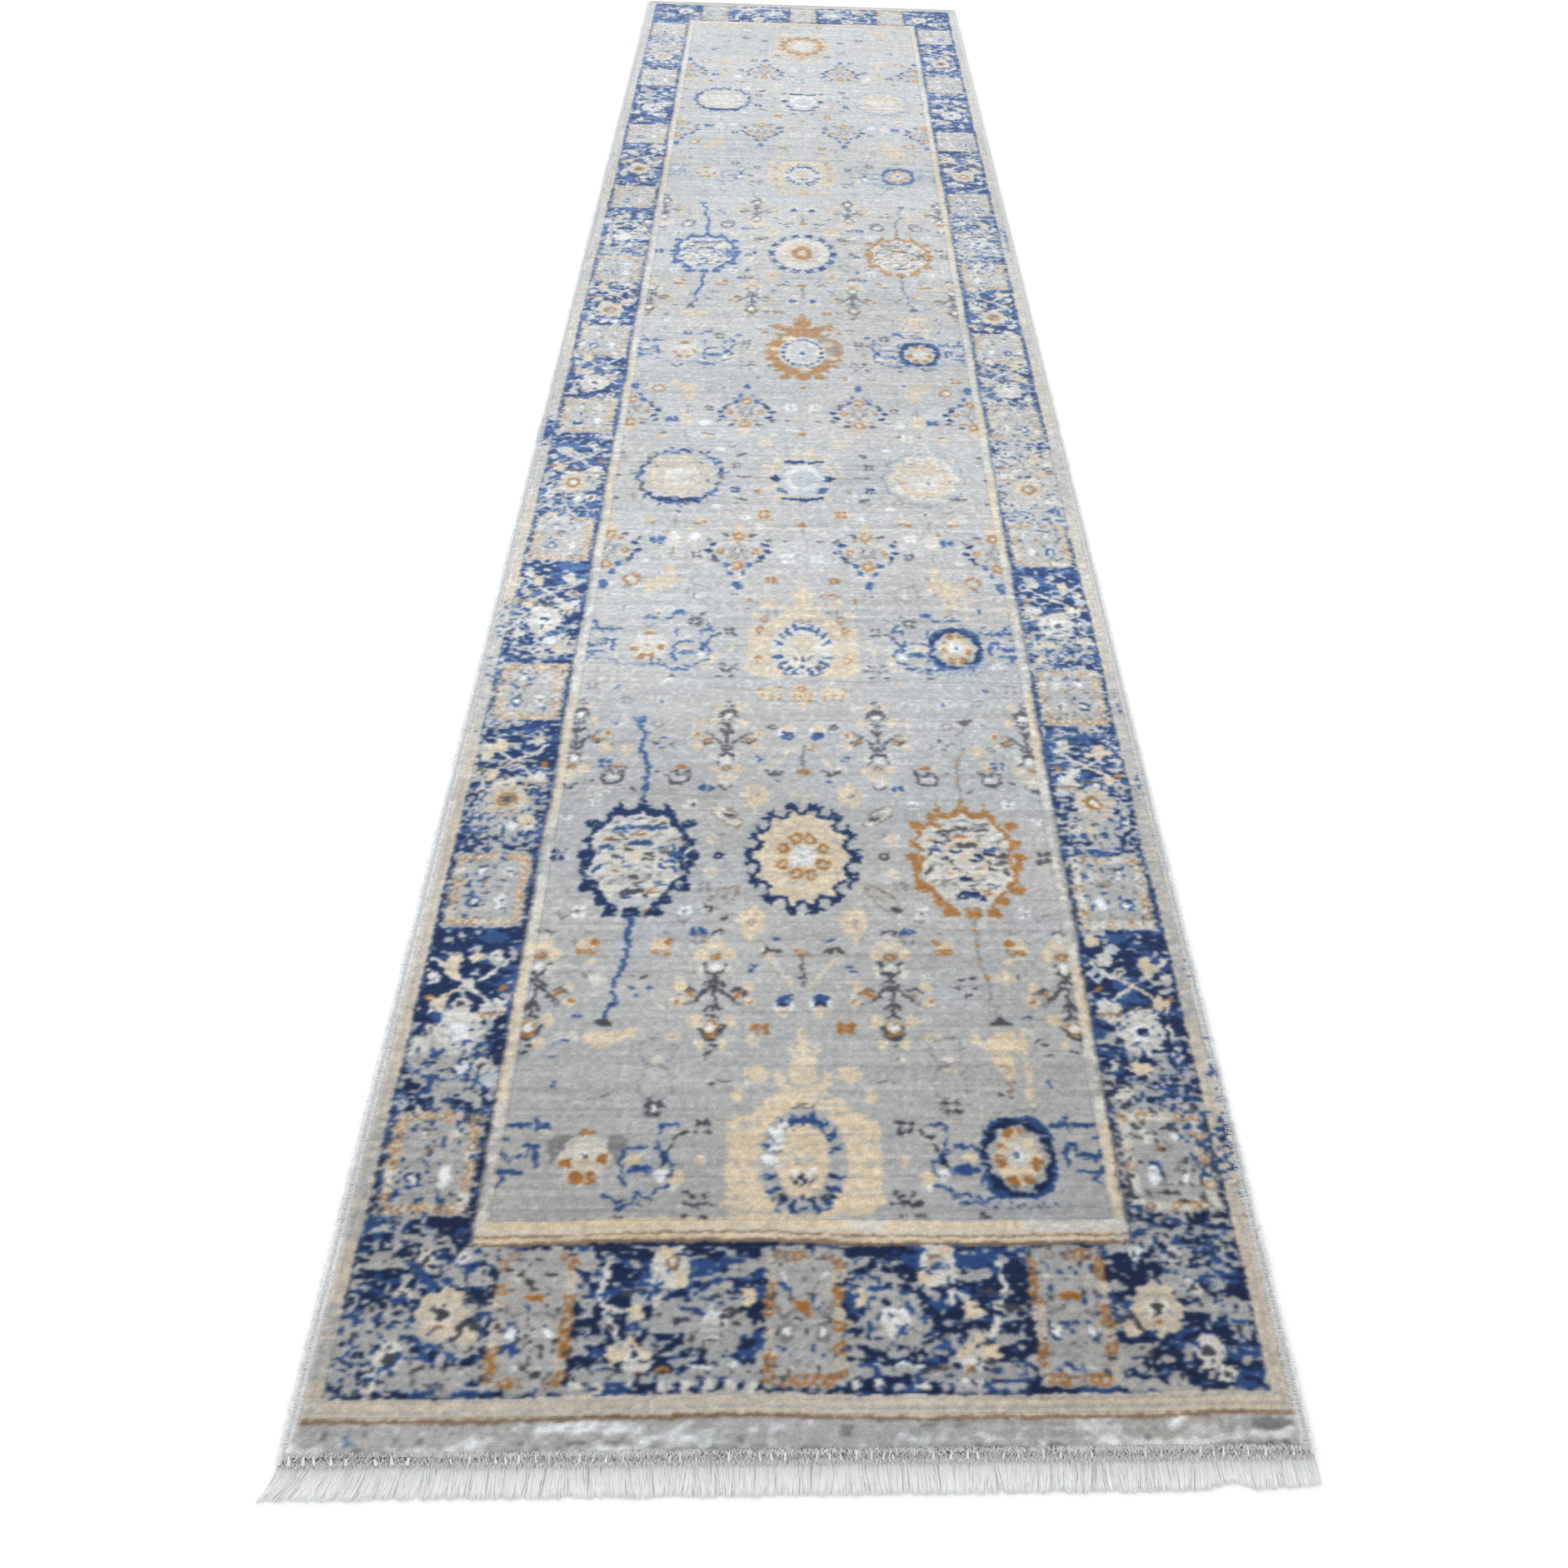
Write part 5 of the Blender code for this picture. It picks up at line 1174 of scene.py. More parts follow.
def knot_colours(k):
    """Linear colour of each knot, with its own small difference, and painted light: lighter toward the far end and
    brighter or darker in bands along the length.
    """
    x, y, ink = k.x, k.y, k.ink
    near = np.array([INKS[i][0] for i in range(len(INKS))], float)
    far = np.array([INKS[i][1] for i in range(len(INKS))], float)
    # the inks blend from their near-end to their lighter far-end colour: painted light for the brighter light and sheen
    # on the far end
    t = np.interp(y, [-2.0, -1.75, -1.5, -1.0, -0.7, 0.6, 1.3, 2.0], [0.0, 0.04, 0.22, 0.66, 0.82, 0.88, 1.0, 1.0])[:, None, None]
    col = near[ink] * (1 - t) + far[ink] * t
    step = float(x[1] - x[0])
    for c in range(3):
        col[..., c] = smear(smear(col[..., c], 0.00155 / step, 1), 0.00110 / step, 0)
    rng = np.random.RandomState(91)
    grain = noise2(x, y, 0.0062, 0.0042, 99)
    own = (rng.rand(*ink.shape) - 0.5) * 0.10 + (grain - 0.5) * 0.12 + 0.16 * np.clip(grain - 0.66, 0, 1) * np.clip((y + 1.7) / 0.7, 0.3, 1)[:, None]
    yarn = (noise2(x, y, 0.40, 0.0036, 92) - 0.5) * 0.085 + (noise2(x, y, 0.08, 0.006, 93) - 0.5) * 0.05
    cloud = (noise2(x, y, 0.22, 0.16, 94) - 0.5) * 0.055
    # thin darker lines across the width, where two rows of pile part: painted shade in the partings
    line = -0.06 * row_lines(x, y)
    col = col * (1 + own + yarn + cloud + line)[..., None]
    hue = (noise2(x, y, 0.12, 0.09, 96) - 0.5)[..., None]
    col = col * (1 + hue * np.array([0.020, 0.0, -0.026]))
    # the outermost rows are worn to silvery fibre; the last rows at the near end are lightened the same way, partly
    # pale fibre and partly painted light over the shade at the pile's end
    rim = np.clip((np.abs(x) - 0.4815) / 0.0095, 0, 1) ** 1.2 * np.where(x < 0, 1.0, 0.75)
    rim = rim[None, :] * np.clip(0.60 + 1.0 * noise2(x, y, 0.010, 0.030, 105), 0, 1)
    # the near end's last rows: painted light over their shade, mixed with pale fibre
    last = np.clip((-1.9925 - y) / 0.0060, 0, 1)[:, None] * np.clip((x + 0.42) / 0.10, 0.25, 1)[None, :]
    rim = np.maximum(rim, 0.75 * last * np.clip(0.35 + 1.2 * noise2(x, y, 0.012, 0.006, 106), 0, 1))
    spill = np.isin(ink, (BLUE, NAVY))
    rim = (rim * np.where(spill, 0.35, 1.0))[..., None]
    col = col * (1 - rim) + np.array([244.0, 247.0, 249.0]) * rim
    # the colour is brightened or darkened in bands along the length: painted light
    along = np.interp(y, [-2.0, -1.77, -1.6, -1.4, -1.2, -1.0, -0.8, -0.4, 0.0, 0.5, 0.9, 1.3, 1.7, 2.0], [1.05, 1.03, 1.11, 1.13, 1.02, 1.10, 1.13, 1.03, 1.03, 1.01, 0.93, 0.98, 0.93, 0.94])
    return srgb_to_linear(np.clip(col, 0, 255)) * (along * LEVEL)[:, None, None]


# ---------------------------------------------------------------- mesh helpers
def build_mesh(name, verts, quads, ngons=(), colours=None, smooth=True):
    """A mesh from an array of points, an array of quads and a list of larger faces, with a colour for each point."""
    verts = np.asarray(verts, np.float32)
    quads = np.asarray(quads, np.int32).reshape(-1, 4)
    mesh = bpy.data.meshes.new(name)
    mesh.vertices.add(len(verts))
    mesh.vertices.foreach_set("co", verts.ravel())
    sizes = [4] * len(quads) + [len(g) for g in ngons]
    loops = np.concatenate([quads.ravel()] + [np.asarray(g, np.int32) for g in ngons]) if len(ngons) else quads.ravel()
    mesh.loops.add(len(loops))
    mesh.loops.foreach_set("vertex_index", loops.astype(np.int32))
    mesh.polygons.add(len(sizes))
    starts = np.concatenate([[0], np.cumsum(sizes)[:-1]]).astype(np.int32)
    mesh.polygons.foreach_set("loop_start", starts)
    mesh.polygons.foreach_set("loop_total", np.array(sizes, np.int32))
    mesh.update(calc_edges=True)
    if colours is not None:
        layer = mesh.color_attributes.new("Knots", "FLOAT_COLOR", "POINT")
        rgba = np.ones((len(verts), 4), np.float32)
        rgba[:, :3] = colours
        layer.data.foreach_set("color", rgba.ravel())
    if smooth:
        mesh.polygons.foreach_set("use_smooth", np.ones(len(sizes), bool))
    mesh.validate()
    obj = bpy.data.objects.new(name, mesh)
    bpy.context.scene.collection.objects.link(obj)
    return obj


def slab_arrays(xs, ys, top, low, colour=None):
    """A closed slab: top is its upper face's height at each grid point, and low its under side's height. The points of xs and ys may be arrays of the whole grid."""
    ny, nx = top.shape
    gx = np.broadcast_to(xs, (ny, nx)) if np.ndim(xs) < 2 else xs
    gy = np.broadcast_to(np.asarray(ys)[:, None], (ny, nx)) if np.ndim(ys) < 2 else ys
    verts = [np.stack([gx, gy, top], -1).reshape(-1, 3)]
    n = nx * ny
    idx = np.arange(n).reshape(ny, nx)
    quads = [np.stack([idx[:-1, :-1], idx[:-1, 1:], idx[1:, 1:], idx[1:, :-1]], -1).reshape(-1, 4)]
    # the rim, counter-clockwise from above, and its copy on the under side
    rim = np.concatenate([idx[0, :-1], idx[:-1, -1], idx[-1, :0:-1], idx[:0:-1, 0]])
    under = verts[0][rim].copy()
    under[:, 2] = low
    verts.append(under)
    m = len(rim)
    down = n + np.arange(m)
    nxt = np.roll(np.arange(m), -1)
    quads.append(np.stack([rim, down, down[nxt], rim[nxt]], -1))
    # the under side: a long quad between each pair of opposite rim points, and a larger face at each end
    right0 = nx - 1
    left = lambda j: down[0] if j == 0 else down[m - j]
    right = lambda j: down[right0 + j]
    ngons = []
    rows = [(left(j), left(j + 1), right(j + 1), right(j)) for j in range(1, ny - 2)]
    quads.append(np.array(rows, np.int64).reshape(-1, 4))
    first = [int(right(1))] + [int(down[i]) for i in range(right0, -1, -1)] + [int(left(1))]
    ngons.append(first)
    last = [int(left(ny - 2))] + [int(down[i]) for i in range(2 * (right0) + (ny - 1) - 0, right0 + (ny - 1) - 1, -1)] + [int(right(ny - 2))]
    ngons.append(last)
    col = None
    if colour is not None:
        flat = colour.reshape(-1, 3)
        # the under side's points take the top's colour at 0.8, so each wall darkens toward its foot: painted shade
        col = np.concatenate([flat, flat[rim] * 0.8])
    return np.concatenate(verts), np.concatenate(quads), ngons, col


def joined(parts):
    """Several (verts, quads, ngons, colours) as one."""
    verts, quads, ngons, cols, at = [], [], [], [], 0
    for v, q, g, c in parts:
        verts.append(v)
        quads.append(np.asarray(q) + at)
        ngons += [[i + at for i in face] for face in g]
        if c is not None:
            cols.append(c)
        at += len(v)
    return np.concatenate(verts), np.concatenate(quads), ngons, np.concatenate(cols) if cols else None


def tube_arrays(path, radius, sides, colour=None, flat=1.0):
    """A closed tube along the points of path. radius is one number or one for each point. flat squashes it in Z."""
    path = np.asarray(path, float)
    n = len(path)
    radius = np.broadcast_to(radius, (n,))
    tangent = np.gradient(path, axis=0)
    tangent /= np.linalg.norm(tangent, axis=1)[:, None] + 1e-12
    up = np.array([0.0, 0.0, 1.0])
    side = np.cross(tangent, up)
    length = np.linalg.norm(side, axis=1)
    side = np.where(length[:, None] > 1e-4, side, np.array([1.0, 0.0, 0.0]))
    side /= np.linalg.norm(side, axis=1)[:, None]
    top = np.cross(side, tangent)
    a = 2 * np.pi * np.arange(sides) / sides
    ring = side[:, None] * np.cos(a)[None, :, None] + top[:, None] * np.sin(a)[None, :, None] * flat
    verts = (path[:, None] + ring * radius[:, None, None]).reshape(-1, 3)
    i = np.arange(n - 1)[:, None] * sides
    j = np.arange(sides)[None]
    k = (j + 1) % sides
    quads = np.stack([i + j, i + sides + j, i + sides + k, i + k], -1).reshape(-1, 4)
    caps = [list(range(sides)), list(range(n * sides - 1, (n - 1) * sides - 1, -1))]
    col = None if colour is None else np.repeat(np.broadcast_to(colour, (n, 3)), sides, 0)
    return verts, quads, caps, col


def strands(roots, tips, bend, r0, r1, steps, sides, colours, seed):
    """Many thin tapered threads at once: roots and tips are arrays of points, and bend is how far each middle is moved."""
    count = len(roots)
    t = np.linspace(0, 1, steps)[None, :, None]
    mid = (roots + tips) / 2 + bend
    path = (1 - t) ** 2 * roots[:, None] + 2 * t * (1 - t) * mid[:, None] + t ** 2 * tips[:, None]
    rng = np.random.RandomState(seed)
    wave = (rng.rand(count, steps, 3) - 0.5) * r0 * 1.2 * np.array([1.0, 0.4, 0.5])
    wave[:, 0] = 0
    path = path + wave
    tangent = np.gradient(path, axis=1)
    tangent /= np.linalg.norm(tangent, axis=2, keepdims=True) + 1e-12
    side = np.cross(tangent, np.array([0.0, 0.0, 1.0]))
    side /= np.linalg.norm(side, axis=2, keepdims=True) + 1e-12
    top = np.cross(side, tangent)
    a = 2 * np.pi * np.arange(sides) / sides + 0.3
    r = (r0 * (1 - t) + r1 * t) * np.ones((count, 1, 1))
    r = r * (0.8 + 0.4 * rng.rand(count, 1, 1))
    verts = path[:, :, None] + (side[:, :, None] * np.cos(a)[None, None, :, None] + top[:, :, None] * np.sin(a)[None, None, :, None]) * r[:, :, None]
    verts = verts.reshape(-1, 3)
    base = np.arange(count)[:, None, None] * steps * sides
    i = np.arange(steps - 1)[None, :, None] * sides
    j = np.arange(sides)[None, None]
    k = (j + 1) % sides
    quads = np.stack([base + i + j, base + i + sides + j, base + i + sides + k, base + i + k], -1).reshape(-1, 4)
    if sides == 4:
        caps = np.concatenate([
            base[:, 0] + np.array([[0, 1, 2, 3]]),
            base[:, 0] + (steps - 1) * sides + np.array([[3, 2, 1, 0]]),
        ])
        quads = np.concatenate([quads, caps.reshape(-1, 4)])
        ngons = []
    else:
        ngons = [[int(b) + q for q in range(sides)] for b in base[:, 0, 0]] + [[int(b) + (steps - 1) * sides + q for q in range(sides - 1, -1, -1)] for b in base[:, 0, 0]]
    col = np.repeat(colours, steps * sides, 0)
    # each thread darkens from tip to root: painted shade at the roots
    shade = np.tile(np.repeat(np.linspace(0.80, 1.0, steps), sides), count)[:, None]
    return verts, quads, ngons, col * np.clip(shade, 0, 1)


# ---------------------------------------------------------------- materials
def material(name, roughness=0.85, sheen=0.0, sheen_roughness=0.5, specular=0.3, colour=(0.5, 0.5, 0.5)):
    mat = bpy.data.materials.new(name)
    mat.use_nodes = True
    shader = mat.node_tree.nodes["Principled BSDF"]
    shader.inputs["Base Color"].default_value = (*colour, 1)
    shader.inputs["Roughness"].default_value = roughness
    shader.inputs["Sheen Weight"].default_value = sheen
    shader.inputs["Sheen Roughness"].default_value = sheen_roughness
    shader.inputs["Specular IOR Level"].default_value = specular
    mat.diffuse_color = (*colour, 1)
    return mat, mat.node_tree.nodes, mat.node_tree.links, shader


def mapped(nodes, links, scale):
    coords = nodes.new("ShaderNodeTexCoord")
    mapping = nodes.new("ShaderNodeMapping")
    mapping.inputs["Scale"].default_value = scale
    links.new(coords.outputs["Object"], mapping.inputs["Vector"])
    return mapping.outputs["Vector"]


def noise(nodes, links, scale, detail=3.0, rough=0.55):
    node = nodes.new("ShaderNodeTexNoise")
    node.inputs["Scale"].default_value = 1.0
    node.inputs["Detail"].default_value = detail
    node.inputs["Roughness"].default_value = rough
    links.new(mapped(nodes, links, scale), node.inputs["Vector"])
    return node.outputs["Fac"]


def math_node(nodes, links, op, a, b=None, clamp=False):
    node = nodes.new("ShaderNodeMath")
    node.operation = op
    node.use_clamp = clamp
    for slot, value in zip(node.inputs, (a, b)):
        if value is None:
            continue
        if isinstance(value, (int, float)):
            slot.default_value = value
        else:
            links.new(value, slot)
    return node.outputs[0]


def tinted(nodes, links, base, factor, low, high):
    """base times a grey that runs from low to high with factor."""
    ramp = nodes.new("ShaderNodeMapRange")
    ramp.inputs["To Min"].default_value = low
    ramp.inputs["To Max"].default_value = high
    links.new(factor, ramp.inputs["Value"])
    mix = nodes.new("ShaderNodeMix")
    mix.data_type = "RGBA"
    mix.blend_type = "MULTIPLY"
    mix.inputs["Factor"].default_value = 1.0
    grey = nodes.new("ShaderNodeCombineColor")
    for q in range(3):
        links.new(ramp.outputs["Result"], grey.inputs[q])
    if isinstance(base, tuple):
        mix.inputs["A"].default_value = (*base, 1)
    else:
        links.new(base, mix.inputs["A"])
    links.new(grey.outputs[0], mix.inputs["B"])
    return mix.outputs["Result"]


def bump(nodes, links, shader, height, distance, strength=1.0, chain=None):
    node = nodes.new("ShaderNodeBump")
    node.inputs["Distance"].default_value = distance
    node.inputs["Strength"].default_value = strength
    links.new(height, node.inputs["Height"])
    if chain is not None:
        links.new(chain, node.inputs["Normal"])
    links.new(node.outputs["Normal"], shader.inputs["Normal"])
    return node.outputs["Normal"]


def attribute(nodes):
    node = nodes.new("ShaderNodeVertexColor")
    node.layer_name = "Knots"
    return node.outputs["Color"]


def pile_material(name="cut_pile", sheen=0.22):
    """Cut pile: the knots' colours, fine fibre ends, and the rows of the weave."""
    mat, nodes, links, shader = material(name, roughness=0.88, sheen=sheen, sheen_roughness=0.45, specular=0.12)
    fibre = noise(nodes, links, (900, 900, 900), detail=2.0)
    tuft = noise(nodes, links, (260, 330, 260), detail=3.0)
    lay = noise(nodes, links, (14, 60, 14), detail=4.0)
    colour = tinted(nodes, links, attribute(nodes), fibre, 0.78, 1.24)
    colour = tinted(nodes, links, colour, tuft, 0.86, 1.14)
    colour = tinted(nodes, links, colour, lay, 0.92, 1.07)
    links.new(colour, shader.inputs["Base Color"])
    wave = nodes.new("ShaderNodeTexWave")
    wave.bands_direction = "Y"
    wave.inputs["Scale"].default_value = 1.0
    wave.inputs["Distortion"].default_value = 2.5
    wave.inputs["Detail"].default_value = 2.0
    links.new(mapped(nodes, links, (20, 145, 20)), wave.inputs["Vector"])
    first = bump(nodes, links, shader, wave.outputs["Fac"], 0.00035, 0.7)
    second = bump(nodes, links, shader, tuft, 0.0012, 0.8, chain=first)
    bump(nodes, links, shader, fibre, 0.0006, 0.6, chain=second)
    return mat


def yarn_material(name, colour, roughness=0.85, sheen=0.2, use_knots=False, scale=700):
    """Spun yarn: fine fibres along it and slubs in its colour."""
    mat, nodes, links, shader = material(name, roughness=roughness, sheen=sheen, specular=0.2, colour=colour)
    fibre = noise(nodes, links, (scale, scale, scale), detail=3.0)
    slub = noise(nodes, links, (90, 60, 90), detail=3.0)
    base = attribute(nodes) if use_knots else colour
    out = tinted(nodes, links, base, fibre, 0.84, 1.14)
    out = tinted(nodes, links, out, slub, 0.92, 1.06)
    links.new(out, shader.inputs["Base Color"])
    bump(nodes, links, shader, fibre, 0.0004, 0.6)
    return mat


def weave_material(name, colour, across=170.0, along=230.0, roughness=0.85, gloss=0.2, depth=0.0004):
    """A plain weave: crossing ridges whose height swaps like a chequer, with slubs."""
    mat, nodes, links, shader = material(name, roughness=roughness, sheen=0.1, specular=gloss, colour=colour)
    coords = nodes.new("ShaderNodeTexCoord")
    split = nodes.new("ShaderNodeSeparateXYZ")
    links.new(coords.outputs["Object"], split.inputs[0])
    u = math_node(nodes, links, "SINE", math_node(nodes, links, "MULTIPLY", split.outputs["X"], across * 2 * math.pi))
    v = math_node(nodes, links, "SINE", math_node(nodes, links, "MULTIPLY", split.outputs["Y"], along * 2 * math.pi))
    over = math_node(nodes, links, "MULTIPLY", u, v)
    slub = noise(nodes, links, (60, 420, 60), detail=4.0)
    grime = noise(nodes, links, (9, 9, 9), detail=5.0)
    half = math_node(nodes, links, "MULTIPLY_ADD", over, 0.5)
    half.node.inputs[2].default_value = 0.5
    # darker where the chequer lies low: painted shade between the crossings
    out = tinted(nodes, links, colour, half, 0.80, 1.08)
    out = tinted(nodes, links, out, slub, 0.86, 1.12)
    out = tinted(nodes, links, out, grime, 0.88, 1.10)
    links.new(out, shader.inputs["Base Color"])
    first = bump(nodes, links, shader, half, depth, 0.8)
    bump(nodes, links, shader, slub, 0.0003, 0.5, chain=first)
    return mat


# ---------------------------------------------------------------- camera
scene = bpy.context.scene
lens_data = bpy.data.cameras.new("view")
lens_data.sensor_fit = "HORIZONTAL"
lens_data.sensor_width = 36.0
lens_data.lens = 24.553
lens_data.shift_x = -0.0243
lens_data.clip_start = 0.05
lens_data.clip_end = 60.0
camera = bpy.data.objects.new("view", lens_data)
scene.collection.objects.link(camera)
turn = (
    Matrix.Rotation(math.radians(-2.801), 4, "Z")
    @ Matrix.Rotation(math.radians(37.659), 4, "X")
    @ Matrix.Rotation(math.radians(2.706), 4, "Z")
)
camera.matrix_world = Matrix.Translation((-0.0180, -2.1123, 1.2131)) @ turn
scene.camera = camera

# ---------------------------------------------------------------- light and floor
world = bpy.data.worlds.new("soft_studio")
world.use_nodes = True
world.node_tree.nodes["Background"].inputs["Color"].default_value = (1.0, 1.0, 1.0, 1.0)
world.node_tree.nodes["Background"].inputs["Strength"].default_value = WORLD_STRENGTH
scene.world = world
scene.view_settings.view_transform = "Standard"
scene.view_settings.look = "None"


def softbox(name, place, aim, size_x, size_y, power):
    light = bpy.data.lights.new(name, "AREA")
    light.shape = "RECTANGLE"
    light.size, light.size_y = size_x, size_y
    light.energy = power
    obj = bpy.data.objects.new(name, light)
    obj.location = place
    obj.rotation_euler = (Vector(aim) - Vector(place)).to_track_quat("-Z", "Y").to_euler()
    scene.collection.objects.link(obj)
    return obj


softbox("key_left", (-2.6, 0.6, 2.6), (0, 0.4, 0), 1.6, 3.0, KEY_POWER)
softbox("fill_far", (0.4, 3.4, 2.4), (0, 1.2, 0), 2.4, 1.2, FAR_POWER)

floor_mat, nodes, links, shader = material("pale_floor", roughness=0.9, specular=0.0, colour=(0.97, 0.97, 0.97))
links.new(tinted(nodes, links, (0.97, 0.97, 0.97), noise(nodes, links, (3, 3, 3)), 0.995, 1.005), shader.inputs["Base Color"])
bpy.ops.mesh.primitive_plane_add(size=160.0, location=(0, 0, -0.0004))
floor = bpy.context.object
floor.name = "floor"
floor.data.materials.append(floor_mat)

# ---------------------------------------------------------------- the carpet's measures
weave_low, weave_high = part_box("ground_weave")
HALF_BODY = weave_high.x  # half the width of the carpet inside its overcast edges
END_NEAR, END_FAR = weave_low.y, weave_high.y
pile_low, pile_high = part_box("pile_field")
FIELD_BOX = (pile_high.x, pile_low.y, pile_high.y)
margin_low, margin_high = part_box("pile_plain_margin")
PILE_NEAR, PILE_FAR = margin_low.y, margin_high.y
PILE_FOOT, PILE_TOP = pile_low.z, pile_high.z
sleeve_low, sleeve_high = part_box("edge_overcasting_right")
EDGE_X, EDGE_Z, EDGE_R = (sleeve_low.x + sleeve_high.x) / 2, (sleeve_low.z + sleeve_high.z) / 2, (sleeve_high.x - sleeve_low.x) / 2


def outline_of(node):
    low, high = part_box(node)
    return high.x, low.y, high.y


LINES = [outline_of("pile_field"), outline_of("pile_inner_guard_stripe"), outline_of("pile_main_border"), outline_of("pile_outer_guard_stripe"), outline_of("pile_plain_margin")]

# ---------------------------------------------------------------- the grid of knots
step = 1.0
nx = int(2 * HALF_BODY / (0.00172 * step))
gx = np.linspace(-HALF_BODY, HALF_BODY, nx)
rows, at = [PILE_NEAR], PILE_NEAR
while at < PILE_FAR:
    at += (0.00150 + 0.00075 * min(1.0, max(0.0, (at + 1.9) / 2.6))) * step
    rows.append(at)
gy = np.array(rows) * 1.0
gy = PILE_NEAR + (gy - PILE_NEAR) * (PILE_FAR - PILE_NEAR) / (gy[-1] - PILE_NEAR)

design = draw_design(gx, gy)
colour = knot_colours(design)

GX, GY = np.meshgrid(gx, gy)
rng = np.random.RandomState(301)
height = np.full(GX.shape, PILE_TOP - 0.00045)
height += (rng.rand(*GX.shape) - 0.5) * 0.00050
height += (noise2(gx, gy, 0.30, 0.0050, 302) - 0.5) * 0.00060
height += (noise2(gx, gy, 0.020, 0.010, 303) - 0.5) * 0.00050
height += (noise2(gx, gy, 0.25, 0.30, 304) - 0.5) * 0.00060
height -= 0.00040 * row_lines(gx, gy)
# the lines between the design's bands lie a little lower, and coloured yarn stands a little proud of the worn ground
worn = np.isin(design.ink, (FIELD, CART, MARG))
height -= np.where(worn, 0.00022, 0.0)
for hx, y0, y1 in LINES[:4]:
    near_line = np.minimum(np.abs(np.abs(GX) - hx) + 10 * ((GY < y0) | (GY > y1)), np.minimum(np.abs(GY - y0), np.abs(GY - y1)) + 10 * (np.abs(GX) > hx))
    height -= 0.0007 * np.exp(-(near_line / 0.0016) ** 2)
# the pile rounds down to the overcast edges, and at the ends where the seam pinches it
side = HALF_BODY - np.abs(GX)
height -= 0.0026 * np.exp(-side / 0.0030)
end = np.minimum(GY - PILE_NEAR, PILE_FAR - GY)
height -= 0.0020 * np.exp(-end / 0.0024)
pinch = (0.5 + 0.5 * np.cos(2 * np.pi * GX / 0.0142)) ** 6
height -= 0.0016 * pinch * np.exp(-end / 0.0045)

# the pile's points stay on the knots' grid
free = np.clip(np.minimum(side, end) / 0.03, 0, 1)
WX = GX
WY = GY
BAND = np.full((len(gy) - 1, len(gx) - 1), 4)
cx, cy = (gx[:-1] + gx[1:]) / 2, (gy[:-1] + gy[1:]) / 2


def column(value):
    return int(np.argmin(np.abs(gx - value)))


def row(value):
    return int(np.argmin(np.abs(gy - value)))


PILE = pile_material()
NAMES = ("field_pile", "inner_stripe_pile", "border_pile", "outer_stripe_pile", "margin_pile")
NODES = ("pile_field", "pile_inner_guard_stripe", "pile_main_border", "pile_outer_guard_stripe", "pile_plain_margin")
cuts = [PILE_NEAR, -1.24, -0.44, 0.40, 1.22, PILE_FAR]
segments = [(row(a), row(b)) for a, b in zip(cuts[:-1], cuts[1:])]


def patch(j0, j1, i0, i1):
    if j1 - j0 < 2 or i1 - i0 < 1:
        return None
    s = (slice(j0, j1 + 1), slice(i0, i1 + 1))
    return slab_arrays(WX[s], WY[s], height[s], PILE_FOOT, colour[s])


pile_pieces = []
for band in range(5):
    hx, y0, y1 = LINES[band]
    i0, i1, j0, j1 = column(-hx), column(hx), row(y0), row(y1)
    if band:
        ix, iy0, iy1 = LINES[band - 1]
        a0, a1, b0, b1 = column(-ix), column(ix), row(iy0), row(iy1)
    for q, (s0, s1) in enumerate(segments):
        parts = []
        lo, hi = max(s0, j0), min(s1, j1)
        if hi <= lo:
            continue
        if band == 0:
            parts.append(patch(lo, hi, i0, i1))
        else:
            if lo < b0:
                parts.append(patch(lo, min(hi, b0), i0, i1))
            if hi > b1:
                parts.append(patch(max(lo, b1), hi, i0, i1))
            lo2, hi2 = max(lo, b0), min(hi, b1)
            if hi2 > lo2:
                parts.append(patch(lo2, hi2, i0, a0))
                parts.append(patch(lo2, hi2, a1, i1))
        parts = [p for p in parts if p is not None]
        verts, quads, ngons, cols = joined(parts)
        piece = build_mesh(f"{NAMES[band]}_{q + 1}", verts, quads, ngons, cols)
        piece.data.materials.append(PILE)
        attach(piece, "carpet")
        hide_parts(NODES[band])
        pile_pieces.append(piece)

# ---------------------------------------------------------------- overcast long edges
def knot_row_colour(y, which):
    """The colour of the pile at the long edge, its painted light included, as the overcasting yarn has it there."""
    strip = colour[:, :4].mean(1) if which < 0 else colour[:, -4:].mean(1)
    return np.stack([np.interp(y, gy, strip[:, q]) for q in range(3)], -1)


